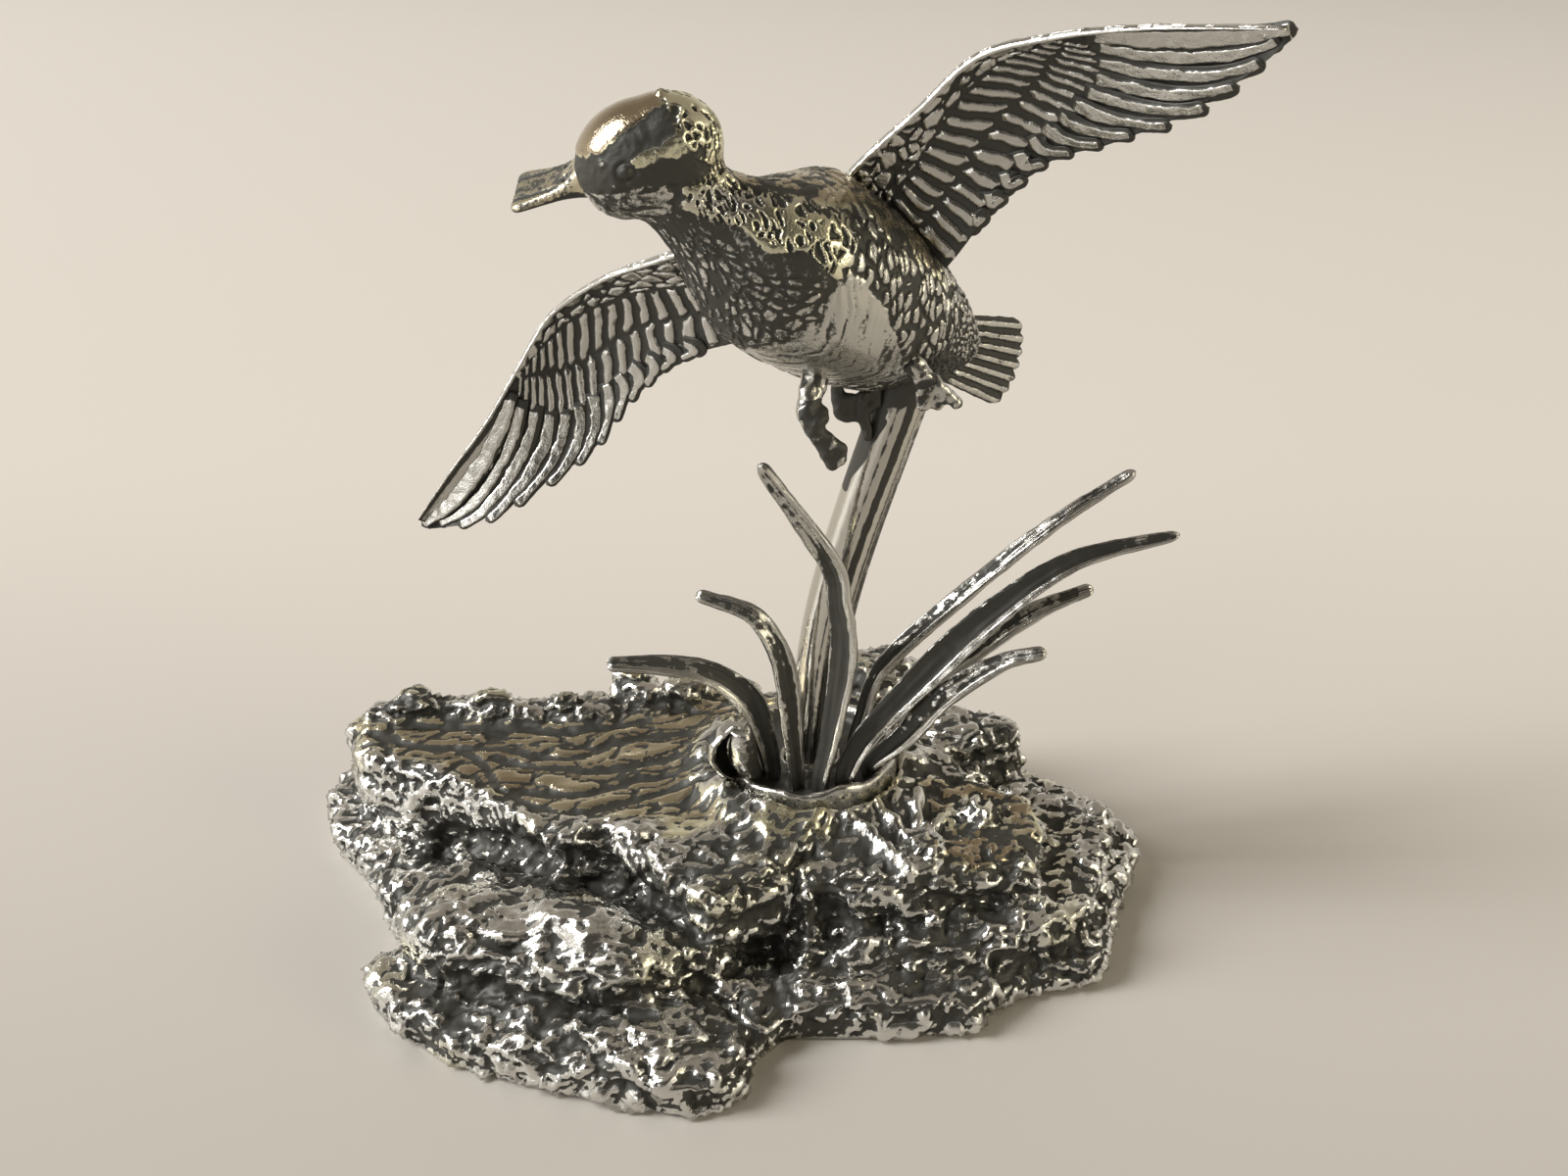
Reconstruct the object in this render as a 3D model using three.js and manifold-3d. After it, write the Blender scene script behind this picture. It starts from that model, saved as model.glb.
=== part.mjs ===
// A pewter duck in flight on a polished rod, above a rocky base with a clump of reeds.
// Millimetres, +Z up. The origin is on the table, under the middle of the base, and the front faces -Y.
import * as THREE from "three";
import { mergeVertices } from "three/addons/utils/BufferGeometryUtils.js";
import Module from "manifold-3d";

const wasm = await Module();
wasm.setup();

// Fits
const SLIP = 0.3; // clearance all round between a part and its socket, and over the face that it seats on
const PEG_LENGTH = 1.8; // how far a wing or leg peg reaches into its socket

// Base: its outlines are shares of these two half sizes
const BASE_HALF_LENGTH = 41;
const BASE_HALF_DEPTH = 27;
const SKIRT_HEIGHT = 4;
const MOUND_HEIGHT = 11.4; // the flat seat of the collar
const MOUND_MARGIN = 1.2; // seat left round the collar

// Rod
const ROD_DIAMETER = 4.5;
const ROD_FOOT = [7.3, 2.3]; // where its axis meets the base, seen from above
const ROD_BOW = [9.1, 1.8, 30.2]; // a point on its axis, where it leans over
const ROD_HOLE_DEPTH = 8; // below the collar's seat
const ROD_TOP = [-9.2, -0.4, -3.6]; // in the duck's frame, inside the belly
const ROD_STEPS = 14;

// Collar
const COLLAR_RADIUS = 8.2;
const COLLAR_FLOOR = 2; // thickness that the leaves stand in
const COLLAR_RIM_HEIGHT = 1.2;
const COLLAR_RIM_WIDTH = 1.5;
const BOSS_RADIUS = 4;
const BOSS_DEPTH = 1.6;
const LEAF_PEG_DEPTH = 1.4; // how far a leaf's foot reaches into the collar
const LEAF_PEG_RISE = 1.5; // how far it stands above the dish before the blade leans

// Duck: its own frame is +X forward, +Y to its left, +Z up
const DUCK_PLACE = [8.6, -2, 59.9];
const DUCK_HEADING = -140; // degrees from +X, seen from above
const DUCK_CLIMB = 27.4;
const DUCK_BANK = 45;
const BODY_HALF_WIDTH = 7.5;
const BODY_HALF_HEIGHT = 7.2;
const HEAD_PLACE = [17.9, -0.4, 4.7]; // in the duck's frame
const HEAD_HEADING = 178; // the head looks to the duck's right and stays nearly level
const HEAD_DIP = 16;
const HEAD_BANK = -14;
const HEAD_LENGTH = 9.8;
const HEAD_WIDTH = 7.8;
const HEAD_HEIGHT = 8.4;
const BILL_LENGTH = 4.4;
const BILL_WIDTH = 5.6;
const WING_THICKNESS = 1.1; // at the leading edge
const FEATHER_THICKNESS = 0.55;
const PRIMARY_COUNT = 8;
const SECONDARY_COUNT = 8;
const TAIL_LENGTH = 9.5;
const TAIL_THICKNESS = 0.7;
const TAIL_SPREAD = 15; // degrees each side
const TAIL_ROLL = 38; // degrees, the fan is twisted against the bank
const TAIL_FEATHERS = 7;
const LEG_RADIUS = 0.85;
const WEB_THICKNESS = 0.6;
const SOCKET_WALL = 1.1; // metal round the rod under the belly
const SOCKET_LENGTH = 3.6; // of the rod's top that the duck holds

const vec = (p) => new THREE.Vector3(...p);
const degrees = THREE.MathUtils.degToRad;
const mix = THREE.MathUtils.lerp;
const UP = new THREE.Vector3(0, 0, 1);

// Closed surface through rings of points, each anticlockwise seen from the last ring, with fanned ends
function skin(rings) {
  const count = rings[0].length;
  const points = rings.flat();
  const faces = [];
  const capEnd = (ring, start, flip) => {
    const middle = points.length;
    points.push(ring.reduce((sum, p) => sum.addScaledVector(p, 1 / count), new THREE.Vector3()));
    ring.forEach((_, i) => {
      const edge = [start + i, start + ((i + 1) % count)];
      faces.push(...(flip ? edge.reverse() : edge), middle);
    });
  };
  for (let r = 0; r + 1 < rings.length; r++)
    for (let i = 0; i < count; i++) {
      const a = r * count + i;
      const b = r * count + ((i + 1) % count);
      faces.push(a, b, b + count, a, b + count, a + count);
    }
  capEnd(rings[0], 0, true);
  capEnd(rings.at(-1), (rings.length - 1) * count, false);
  return new THREE.BufferGeometry().setFromPoints(points).setIndex(faces);
}

// An oval ring square to a direction: half width across `up`, half height along it
function oval(centre, direction, up, halfWidth, halfHeight, count = 12) {
  const along = direction.clone().normalize();
  const rise = up.clone().addScaledVector(along, -up.dot(along)).normalize();
  const side = rise.clone().cross(along);
  return Array.from({ length: count }, (_, i) => {
    const turn = (i / count) * 2 * Math.PI;
    return centre
      .clone()
      .addScaledVector(side, halfWidth * Math.cos(turn))
      .addScaledVector(rise, halfHeight * Math.sin(turn));
  });
}

// Ovals along a list of stations { at, width, height }, each square to the line through its neighbours
function loft(stations, up = UP, count = 12) {
  const at = (i) => stations[THREE.MathUtils.clamp(i, 0, stations.length - 1)].at;
  return skin(
    stations.map(({ width, height }, i) =>
      oval(at(i), at(i + 1).clone().sub(at(i - 1)), up, width / 2, height / 2, count),
    ),
  );
}

// Manifold solid of a geometry
function solid(geometry) {
  const bare = new THREE.BufferGeometry()
    .setAttribute("position", geometry.getAttribute("position"))
    .setIndex(geometry.index);
  const merged = mergeVertices(bare, 1e-4);
  return new wasm.Manifold(
    new wasm.Mesh({
      numProp: 3,
      vertProperties: merged.attributes.position.array,
      triVerts: new Uint32Array(merged.index.array),
    }),
  );
}

const join = (solids) => solids.reduce((whole, each) => whole.add(each));

// The outer skin alone, with any small hollow that overlapping shapes shut in filled
function filled(body) {
  return body.decompose().reduce((most, each) => (each.volume() > most.volume() ? each : most));
}

function geometryOf(body) {
  const mesh = body.getMesh();
  const geometry = new THREE.BufferGeometry()
    .setAttribute("position", new THREE.BufferAttribute(mesh.vertProperties, 3))
    .setIndex(new THREE.BufferAttribute(mesh.triVerts, 1));
  geometry.computeVertexNormals();
  return geometry;
}

// An upright cylinder over a point of the plan
function post([x, y], radius, bottom, top, sides = 32) {
  const geometry = new THREE.CylinderGeometry(radius, radius, top - bottom, sides);
  return geometry.rotateX(Math.PI / 2).translate(x, y, (top + bottom) / 2);
}

// The duck's and the head's places in the world
const duck = new THREE.Group();
duck.position.set(...DUCK_PLACE);
duck.rotation.set(degrees(DUCK_BANK), degrees(-DUCK_CLIMB), degrees(DUCK_HEADING), "ZYX");
duck.updateMatrixWorld(true);
const toDuck = duck.matrixWorld.clone().invert();

const head = new THREE.Object3D();
head.position.copy(duck.localToWorld(vec(HEAD_PLACE)));
head.rotation.set(degrees(HEAD_BANK), degrees(HEAD_DIP), degrees(HEAD_HEADING), "ZYX");
head.updateMatrixWorld(true);
const headInDuck = toDuck.clone().multiply(head.matrixWorld);

// Rod: upright in the base, then leaning over to the belly
function rod(grow) {
  const [x, y] = ROD_FOOT;
  const top = duck.localToWorld(vec(ROD_TOP));
  const path = new THREE.CatmullRomCurve3([
    new THREE.Vector3(x, y, MOUND_HEIGHT - ROD_HOLE_DEPTH - grow),
    new THREE.Vector3(x, y, MOUND_HEIGHT),
    vec(ROD_BOW),
    top,
  ]);
  const radius = ROD_DIAMETER / 2 + grow;
  const stations = Array.from({ length: ROD_STEPS + 1 }, (_, i) => ({
    at: path.getPointAt(i / ROD_STEPS),
    width: 2 * radius,
    height: 2 * radius,
  }));
  const lift = top.clone().sub(vec(ROD_BOW)).setLength(grow);
  stations.at(-1).at.add(lift);
  return loft(stations, new THREE.Vector3(0, -1, 0), 20);
}

// Rock: each block is an outline in shares of the base's half sizes, a top height and a shoulder width
const FOOTPRINT = [
  [-1.03, 0.34], [-0.98, 0.16], [-0.85, -0.06], [-0.81, -0.19], [-0.69, -0.43], [-0.77, -0.54],
  [-0.76, -0.63], [-0.7, -0.73], [-0.56, -0.87], [-0.38, -0.96], [-0.17, -1.04], [-0.07, -1.07],
  [0, -1.05], [0.04, -0.99], [0.06, -0.87], [0.12, -0.77], [0.36, -0.76], [0.52, -0.74],
  [0.55, -0.67], [0.62, -0.58], [0.8, -0.52], [0.85, -0.31], [0.94, -0.03], [0.97, 0.11],
  [0.9, 0.33], [0.76, 0.48], [0.66, 0.63], [0.46, 0.74], [0.27, 0.85], [0.05, 0.91],
  [-0.2, 0.89], [-0.44, 0.83], [-0.68, 0.8], [-0.88, 0.7], [-1, 0.54],
];
const LEFT_PLATEAU = [
  [-0.96, 0.4], [-0.9, 0.2], [-0.82, 0.1], [-0.62, -0.04], [-0.5, -0.18], [-0.37, -0.34],
  [-0.28, -0.28], [-0.18, -0.42], [-0.04, -0.62], [0.12, -0.5], [0.3, -0.1], [0.24, 0.5],
  [-0.12, 0.68], [-0.28, 0.6], [-0.48, 0.54], [-0.76, 0.58], [-0.9, 0.54],
];
const FRONT_LEDGE = [
  [-0.72, -0.42], [-0.68, -0.58], [-0.58, -0.68], [-0.36, -0.8], [-0.12, -0.76], [0, -0.62],
  [-0.1, -0.3], [-0.5, -0.14], [-0.68, -0.24],
];
const FRONT_STEP = [
  [-0.62, -0.7], [-0.4, -0.88], [-0.16, -0.96], [-0.04, -0.92], [0, -0.6], [-0.4, -0.5],
];
const RIGHT_PLATEAU = [
  [0.16, -0.52], [0.42, -0.5], [0.66, -0.4], [0.7, -0.2], [0.68, 0], [0.56, 0.1],
  [0.5, 0.36], [0.2, 0.5], [0.04, 0],
];
const RIGHT_STEP = [
  [0.14, -0.64], [0.46, -0.62], [0.66, -0.54], [0.78, -0.46], [0.82, -0.26], [0.88, -0.06],
  [0.84, 0.14], [0.7, 0.38], [0.4, 0.64], [0.1, 0.4],
];
const BACK_SHELF = [
  [-0.84, 0.6], [-0.8, 0.3], [0.5, 0.1], [0.72, 0.36], [0.54, 0.6], [0.2, 0.74],
  [-0.24, 0.8], [-0.6, 0.72],
];
const CRAG = [[0.26, 0.5], [0.32, 0.42], [0.42, 0.48], [0.46, 0.6], [0.36, 0.7], [0.26, 0.64]];
const BACK_LUMP = [[0.48, 0.28], [0.6, 0.24], [0.7, 0.32], [0.66, 0.46], [0.52, 0.5], [0.44, 0.4]];
const BLOCKS = [
  { outline: FOOTPRINT, top: SKIRT_HEIGHT, shoulder: 0.8 },
  { outline: LEFT_PLATEAU, top: 12.4, shoulder: 1.2 },
  { outline: FRONT_LEDGE, top: 7.6, shoulder: 1.1 },
  { outline: FRONT_STEP, top: 4.9, shoulder: 0.9 },
  { outline: RIGHT_PLATEAU, top: 11.2, shoulder: 1.2 },
  { outline: RIGHT_STEP, top: 6.8, shoulder: 1 },
  { outline: BACK_SHELF, top: 9.2, shoulder: 1 },
  { outline: CRAG, top: 16.6, shoulder: 1.4 },
  { outline: BACK_LUMP, top: 12.6, shoulder: 1.2 },
];

// Stones on the plateaus: place in shares of the half sizes, radius and top height in millimetres
const STONES = [
  { at: [-0.8, 0.46], radius: 2.6, top: 14.6 },
  { at: [-0.6, 0.42], radius: 2.1, top: 13.6 },
  { at: [-0.42, 0.46], radius: 2.4, top: 14 },
  { at: [-0.26, 0.56], radius: 2.8, top: 15.4 },
  { at: [-0.12, 0.56], radius: 2.6, top: 15 },
  { at: [0.02, 0.52], radius: 2.4, top: 14.4 },
  { at: [0.56, -0.16], radius: 2.6, top: 12.8 },
  { at: [0.42, -0.34], radius: 2.8, top: 12.6 },
  { at: [0.86, 0.06], radius: 2, top: 8 },
];
const STONE_BURIAL = 4; // each stone starts this far below its top
const STONE_TAPER = 0.5; // its top's radius against its foot's

function block({ outline, top, shoulder }) {
  const shape = new THREE.Shape(
    outline.map(([x, y]) => new THREE.Vector2(x * BASE_HALF_LENGTH, y * BASE_HALF_DEPTH)),
  );
  const bevel = { bevelThickness: shoulder, bevelSize: shoulder, bevelOffset: -shoulder };
  const geometry = new THREE.ExtrudeGeometry(shape, { depth: top, bevelSegments: 1, ...bevel });
  return geometry.translate(0, 0, -shoulder);
}

function stone({ at, radius, top }) {
  const geometry = new THREE.CylinderGeometry(radius * STONE_TAPER, radius, STONE_BURIAL, 7);
  const [x, y] = [at[0] * BASE_HALF_LENGTH, at[1] * BASE_HALF_DEPTH];
  return geometry.rotateX(Math.PI / 2).translate(x, y, top - STONE_BURIAL / 2);
}

function rockBase() {
  const room = 2 * (BASE_HALF_LENGTH + BASE_HALF_DEPTH);
  const seat = COLLAR_RADIUS + SLIP;
  const rock = join([...BLOCKS.map(block), ...STONES.map(stone)].map(solid)).add(
    solid(post(ROD_FOOT, seat + MOUND_MARGIN, SKIRT_HEIGHT / 2, MOUND_HEIGHT, 18)),
  );
  const underTable = new THREE.BoxGeometry(2 * room, 2 * room, room).translate(0, 0, -room / 2);
  const overSeat = post(ROD_FOOT, seat, MOUND_HEIGHT, room, 40);
  const bossRecess = post(ROD_FOOT, BOSS_RADIUS + SLIP, MOUND_HEIGHT - BOSS_DEPTH - SLIP, room);
  return [underTable, overSeat, bossRecess, rod(SLIP)].reduce(
    (left, cut) => left.subtract(solid(cut)),
    rock,
  );
}

// Collar: a shallow dish round the rod, with a boss below and sockets for the leaves
const COLLAR_SEAT = MOUND_HEIGHT + SLIP;
const COLLAR_TOP = COLLAR_SEAT + COLLAR_FLOOR; // the dish's floor

function reedCollar() {
  const inner = COLLAR_RADIUS - COLLAR_RIM_WIDTH;
  const profile = [
    [0, COLLAR_SEAT - BOSS_DEPTH],
    [BOSS_RADIUS, COLLAR_SEAT - BOSS_DEPTH],
    [BOSS_RADIUS, COLLAR_SEAT],
    [COLLAR_RADIUS, COLLAR_SEAT],
    [COLLAR_RADIUS, COLLAR_TOP + COLLAR_RIM_HEIGHT * 0.7],
    [COLLAR_RADIUS - 0.3 * COLLAR_RIM_WIDTH, COLLAR_TOP + COLLAR_RIM_HEIGHT],
    [inner, COLLAR_TOP],
    [0, COLLAR_TOP],
  ].map(([x, y]) => new THREE.Vector2(x, y));
  const dish = new THREE.LatheGeometry(profile, 28).rotateX(Math.PI / 2);
  dish.translate(...ROD_FOOT, 0);
  const sockets = Object.values(LEAVES).map((each) => solid(leafPeg(each, SLIP)));
  return solid(dish).subtract(solid(rod(SLIP))).subtract(join(sockets));
}

// Leaves: where the foot stands in the dish (share of its radius, degrees from +X), the midline above it
// with heights over the dish's floor, widths at the foot and at the widest, and the way that the flat faces
const LEAVES = {
  reed_far_left: {
    foot: [0.76, 223.4],
    points: [[2.9, -1.4, 5.1], [1.4, -1.6, 8.7], [-1.9, -2, 11.5], [-5.9, -2.6, 12.7], [-10.5, -3.5, 13.4]],
    widths: [1.5, 2.4],
    face: [0.1, -0.6, 0.8],
  },
  reed_mid_left: {
    foot: [0.79, 254.6],
    points: [[5.6, -2.5, 5.7], [5.1, -2.2, 10.3], [4.1, -1.8, 14.2], [1.8, -1.4, 17.3], [-2.7, -1, 18.9]],
    widths: [1.4, 2.3],
    face: [0.5, -0.7, 0.5],
  },
  reed_tall_centre: {
    foot: [0.86, 279],
    points: [[9.2, -3.2, 6.6], [10.1, -3, 14.3], [9.6, -3.2, 19.4], [8.6, -3.6, 23.6], [2.9, -5, 32.8]],
    widths: [1.4, 2.3],
    face: [-0.5, -0.8, 0.3],
  },
  reed_tall_right: {
    foot: [0.635, 336.5],
    points: [[12.1, 1.9, 4.3], [14.3, 3.4, 9.3], [23, 6, 16.7], [29.8, 7, 22.3], [36.3, 8, 26.6]],
    widths: [1.2, 1.7],
    face: [-0.5, -0.5, 0.7],
  },
  reed_broad_right: {
    foot: [0.873, 303],
    points: [[11.9, -2, 4.1], [14.7, -1, 7.3], [22.3, 0.6, 15.1], [30, 1.3, 20.9], [38.9, 1, 23.7]],
    widths: [1.7, 3.1],
    face: [-0.2, -0.85, 0.5],
  },
  reed_behind_right: {
    foot: [0.81, 11.7],
    points: [[15.5, 4, 3.7], [19, 4.6, 6.9], [23.4, 5.2, 10.3], [28.4, 6, 13.5], [33.5, 7, 15.2]],
    widths: [1.5, 2.4],
    face: [-0.2, -0.7, 0.7],
  },
  reed_low_right: {
    foot: [0.97, 329.5],
    points: [[15.7, -0.9, 3.9], [19.1, -0.6, 8.1], [24.2, -0.5, 11.7], [28, -1, 13.1]],
    widths: [1.5, 2.3],
    face: [-0.2, -0.7, 0.7],
  },
  curled_leaf: {
    foot: [0.845, 197.5],
    points: [[0.8, -0.3, 3.1], [-0.2, -1.5, 4.9], [-0.2, -2.4, 6.7]],
    widths: [2, 4.2],
    face: [-0.7, -0.7, 0.1],
  },
};
const LEAF_THICKNESS = 0.9;
const LEAF_TIP_SHARE = 0.42;
const LEAF_WIDEST = 0.4; // how far along
const LEAF_STEPS = 11;

function leafWidth([footWidth, widest], along) {
  if (along < LEAF_WIDEST) return mix(footWidth, widest, Math.sin((along / LEAF_WIDEST) * (Math.PI / 2)));
  return widest * mix(1, LEAF_TIP_SHARE, ((along - LEAF_WIDEST) / (1 - LEAF_WIDEST)) ** 1.6);
}

// A point over a leaf's foot, at a height over the dish's floor
function overFoot([share, turn], height) {
  const out = share * (COLLAR_RADIUS - COLLAR_RIM_WIDTH);
  const [x, y] = ROD_FOOT;
  const angle = degrees(turn);
  return new THREE.Vector3(x + out * Math.cos(angle), y + out * Math.sin(angle), COLLAR_TOP + height);
}

// The upright peg under a leaf, from inside the collar up to its blade
function leafPeg({ foot, widths, face }, grow) {
  const facing = new THREE.Vector3(face[0], face[1], 0);
  const section = { width: widths[0] + 2 * grow, height: LEAF_THICKNESS + 2 * grow };
  const station = (height) => ({ at: overFoot(foot, height), ...section });
  const ends = [-LEAF_PEG_DEPTH - grow, LEAF_PEG_RISE + LEAF_THICKNESS];
  return loft(ends.map(station), facing, 10);
}

function leaf(each) {
  const start = overFoot(each.foot, LEAF_PEG_RISE);
  const above = each.points.map(([x, y, height]) => new THREE.Vector3(x, y, COLLAR_TOP + height));
  const path = new THREE.CatmullRomCurve3([start, ...above]);
  const stations = Array.from({ length: LEAF_STEPS + 1 }, (_, i) => ({
    at: path.getPointAt(i / LEAF_STEPS),
    width: leafWidth(each.widths, i / LEAF_STEPS),
    height: LEAF_THICKNESS,
  }));
  return solid(loft(stations, vec(each.face), 10)).add(solid(leafPeg(each, 0)));
}

// Duck's body: forward, up, and shares of the half width and half height, from the rump to the neck
const BODY_SECTIONS = [
  [-16.5, -1, 0.25, 0.14],
  [-14, -1, 0.45, 0.32],
  [-10.5, -0.9, 0.67, 0.58],
  [-6, -0.6, 0.87, 0.83],
  [-1, -0.1, 0.98, 0.99],
  [4, 0.5, 1, 1.06],
  [8, -0.2, 0.9, 0.83],
  [11, 0.1, 0.68, 0.58],
  [13.3, 1.2, 0.5, 0.45],
  [15.2, 2.5, 0.45, 0.43],
  [16.8, 3.6, 0.47, 0.45],
];
const BODY_POINTS = 20;

function trunk(grow) {
  const stations = BODY_SECTIONS.map(([forward, up, width, height]) => ({
    at: new THREE.Vector3(forward, 0, up),
    width: 2 * (width * BODY_HALF_WIDTH + grow),
    height: 2 * (height * BODY_HALF_HEIGHT + grow),
  }));
  return loft(stations, UP, BODY_POINTS);
}

function skull() {
  const dome = new THREE.SphereGeometry(0.5, 18, 12).scale(HEAD_LENGTH, HEAD_WIDTH, HEAD_HEIGHT);
  return dome.applyMatrix4(headInDuck);
}

// Bill: distance from the face as a share of its length, width as a share of its width, drop and height
const BILL_SECTIONS = [
  [-0.4, 0.62, 0.5, 3.2],
  [0, 0.58, 0.6, 2.6],
  [0.35, 0.66, 0.9, 1.5],
  [0.75, 0.92, 1, 0.9],
  [0.95, 1, 1, 0.8],
  [1, 0.9, 1, 0.6],
];

function bill() {
  const stations = BILL_SECTIONS.map(([along, width, drop, height]) => ({
    at: new THREE.Vector3(HEAD_LENGTH / 2 + along * BILL_LENGTH, 0, -drop),
    width: width * BILL_WIDTH,
    height,
  }));
  return loft(stations).applyMatrix4(headInDuck);
}

// Tail fan: feathers from inside the rump, spread round the fan's own upright
const TAIL_ROOT = [-14, 0, -1.3];
const TAIL_FEATHER_WIDTH = 2;
const TAIL_SPACING = 0.72; // between the roots of neighbouring feathers
const TAIL_BURIAL = 1.5; // of each feather's root in the rump
const TAIL_ROUNDING = 0.16; // the outermost feathers are shorter by this share

function tailFeather(index) {
  const side = (index / (TAIL_FEATHERS - 1)) * 2 - 1; // -1 on the right to 1 on the left
  const fan = new THREE.Matrix4().makeRotationX(degrees(TAIL_ROLL)).setPosition(...TAIL_ROOT);
  const turn = degrees(TAIL_SPREAD) * side;
  const root = new THREE.Vector3(TAIL_BURIAL, (side * (TAIL_FEATHERS - 1) * TAIL_SPACING) / 2, 0);
  const away = new THREE.Vector3(-Math.cos(turn), Math.sin(turn), 0);
  const length = TAIL_LENGTH * (1 - TAIL_ROUNDING * side * side) + TAIL_BURIAL;
  const shares = [
    [0, 0.5],
    [0.6, 1],
    [0.9, 0.8],
    [1, 0.4],
  ];
  const stations = shares.map(([along, width]) => ({
    at: root.clone().addScaledVector(away, along * length).applyMatrix4(fan),
    width: TAIL_FEATHER_WIDTH * width,
    height: TAIL_THICKNESS,
  }));
  const rise = UP.clone().transformDirection(fan);
  return loft(stations, rise, 6);
}

// The socket that takes the rod under the belly
function rodSocket() {
  const top = vec(ROD_TOP);
  const bow = vec(ROD_BOW).applyMatrix4(toDuck);
  const down = bow.sub(top).setLength(SOCKET_LENGTH);
  const width = ROD_DIAMETER + 2 * (SLIP + SOCKET_WALL);
  const stations = [0, 1].map((share) => ({
    at: top.clone().addScaledVector(down, share),
    width,
    height: width,
  }));
  return loft(stations, UP, 20);
}

function duckBody() {
  const feathers = Array.from({ length: TAIL_FEATHERS }, (_, i) => tailFeather(i));
  const whole = join([trunk(0), skull(), bill(), rodSocket(), ...feathers].map(solid));
  const pegs = [
    ...Object.values(WINGS).map((wing) => wingPeg(wing, SLIP)),
    ...Object.values(LEGS).map((leg) => legPeg(leg, SLIP)),
    rod(SLIP).applyMatrix4(toDuck),
  ];
  return whole.subtract(join(pegs.map(solid)));
}

// Wings: edges from inside the body to the tip, in the duck's frame
const WINGS = {
  left_wing: {
    leading: [
      [3.3, 4, 4.9], [3.5, 8, 5.4], [3.6, 12.9, 5.7], [3.9, 18.6, 5.9],
      [2.7, 23.6, 4.2], [1.4, 28.3, 1.7], [0.3, 32.5, -1.2], [-0.6, 36.2, -4],
    ],
    trailing: [
      [-5.6, 4, -1.6], [-5.3, 8, -0.8], [-4.8, 12.2, 0.4], [-4.6, 17.5, 0.9],
      [-4.6, 22.6, -1.1], [-4.1, 27.5, -3.2], [-2.9, 32.2, -4.4], [-1.1, 36, -4.6],
    ],
  },
  right_wing: {
    leading: [
      [9.2, -4, 3.4], [9.7, -9, 4.9], [10.2, -14.3, 6.4], [10.4, -20.6, 6.8],
      [10.7, -25.3, 4.3], [11, -30, 1.5], [11.6, -35, -1], [12, -40, -3.6],
    ],
    trailing: [
      [0.8, -4, -1.6], [1.9, -9, -0.6], [3, -14.6, 0.7], [3.2, -20.4, 0.1],
      [3.9, -25.5, -2.6], [6.2, -30.5, -4.3], [8.7, -35.8, -5.6], [11.5, -40, -4.3],
    ],
  },
};
const WING_STEPS = 12;
const WING_CAMBER = 0.9;
const PLATE_CHORD = 0.82; // the plate ends here and the feather tips go on to the trailing edge
const TIP_THINNING = 0.55; // thickness at the tip against the root
const EDGE_ROUNDING = 0.35; // thickness of the leading edge itself against the plate behind it

function wingCurves({ leading, trailing }) {
  return [leading, trailing].map((edge) => new THREE.CatmullRomCurve3(edge.map(vec)));
}

// Point, normal and span direction of the wing's middle surface, from its share along the span and the chord
function wingPlace(wing, span, chord) {
  const [front, back] = wingCurves(wing).map((edge) => edge.getPoint(span));
  const [frontOn, backOn] = wingCurves(wing).map((edge) => edge.getTangent(span));
  const outward = frontOn.lerp(backOn, chord).normalize();
  const normal = front.clone().sub(back).cross(outward).normalize();
  if (normal.z < 0) normal.negate();
  const at = front.lerp(back, chord).addScaledVector(normal, WING_CAMBER * 4 * chord * (1 - chord));
  return { at, normal, outward };
}

function wingPlate(wing) {
  const chords = [0, 0.1, 0.4, PLATE_CHORD];
  const isRight = wing.leading[0][1] < 0;
  const rings = Array.from({ length: WING_STEPS + 1 }, (_, i) => {
    const span = i / WING_STEPS;
    const edge = (side) => (chord, j) => {
      const { at, normal } = wingPlace(wing, span, chord);
      const round = j === 0 ? EDGE_ROUNDING : 1;
      const thick = mix(WING_THICKNESS, FEATHER_THICKNESS, chord) * mix(1, TIP_THINNING, span);
      return at.addScaledVector(normal, (side * round * thick) / 2);
    };
    const ring = [...chords.map(edge(1)), ...chords.map(edge(-1)).reverse()];
    return isRight ? ring : ring.reverse();
  });
  return skin(rings);
}

// One flight feather, from a place near the leading edge out to the trailing edge
function flightFeather(wing, root, tip, width) {
  const shares = [
    [0, 0.7],
    [0.45, 1],
    [0.85, 0.9],
    [1, 0.45],
  ];
  const places = shares.map(([along]) =>
    wingPlace(wing, mix(root.span, tip.span, along), mix(root.chord, tip.chord, along)),
  );
  const stations = shares.map(([, share], i) => ({
    at: places[i].at,
    width: width * share,
    height: FEATHER_THICKNESS,
  }));
  return loft(stations, places[1].normal, 6);
}

// Span shares of the feathers' roots and tips
const SECONDARIES = { root: [0.1, 0.42], tip: [0.13, 0.52], width: 2.6 };
const PRIMARIES = { root: [0.42, 0.62], tip: [0.58, 0.99], width: 2.3 };

function flightFeathers(wing) {
  const row = ({ root, tip, width }, count, rootChord) =>
    Array.from({ length: count }, (_, i) => {
      const share = i / (count - 1);
      const start = { span: mix(...root, share), chord: rootChord };
      const end = { span: mix(...tip, share), chord: mix(1, 0.9, share * share) };
      return flightFeather(wing, start, end, width * mix(1, 0.75, share));
    });
  return [...row(SECONDARIES, SECONDARY_COUNT, 0.35), ...row(PRIMARIES, PRIMARY_COUNT, 0.25)];
}

// A flat peg along the root of a wing, out of its plate and into the body
const WING_PEG = { chord: 0.45, width: 3.4, height: 0.9, rootSpan: 0.1 };

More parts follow.
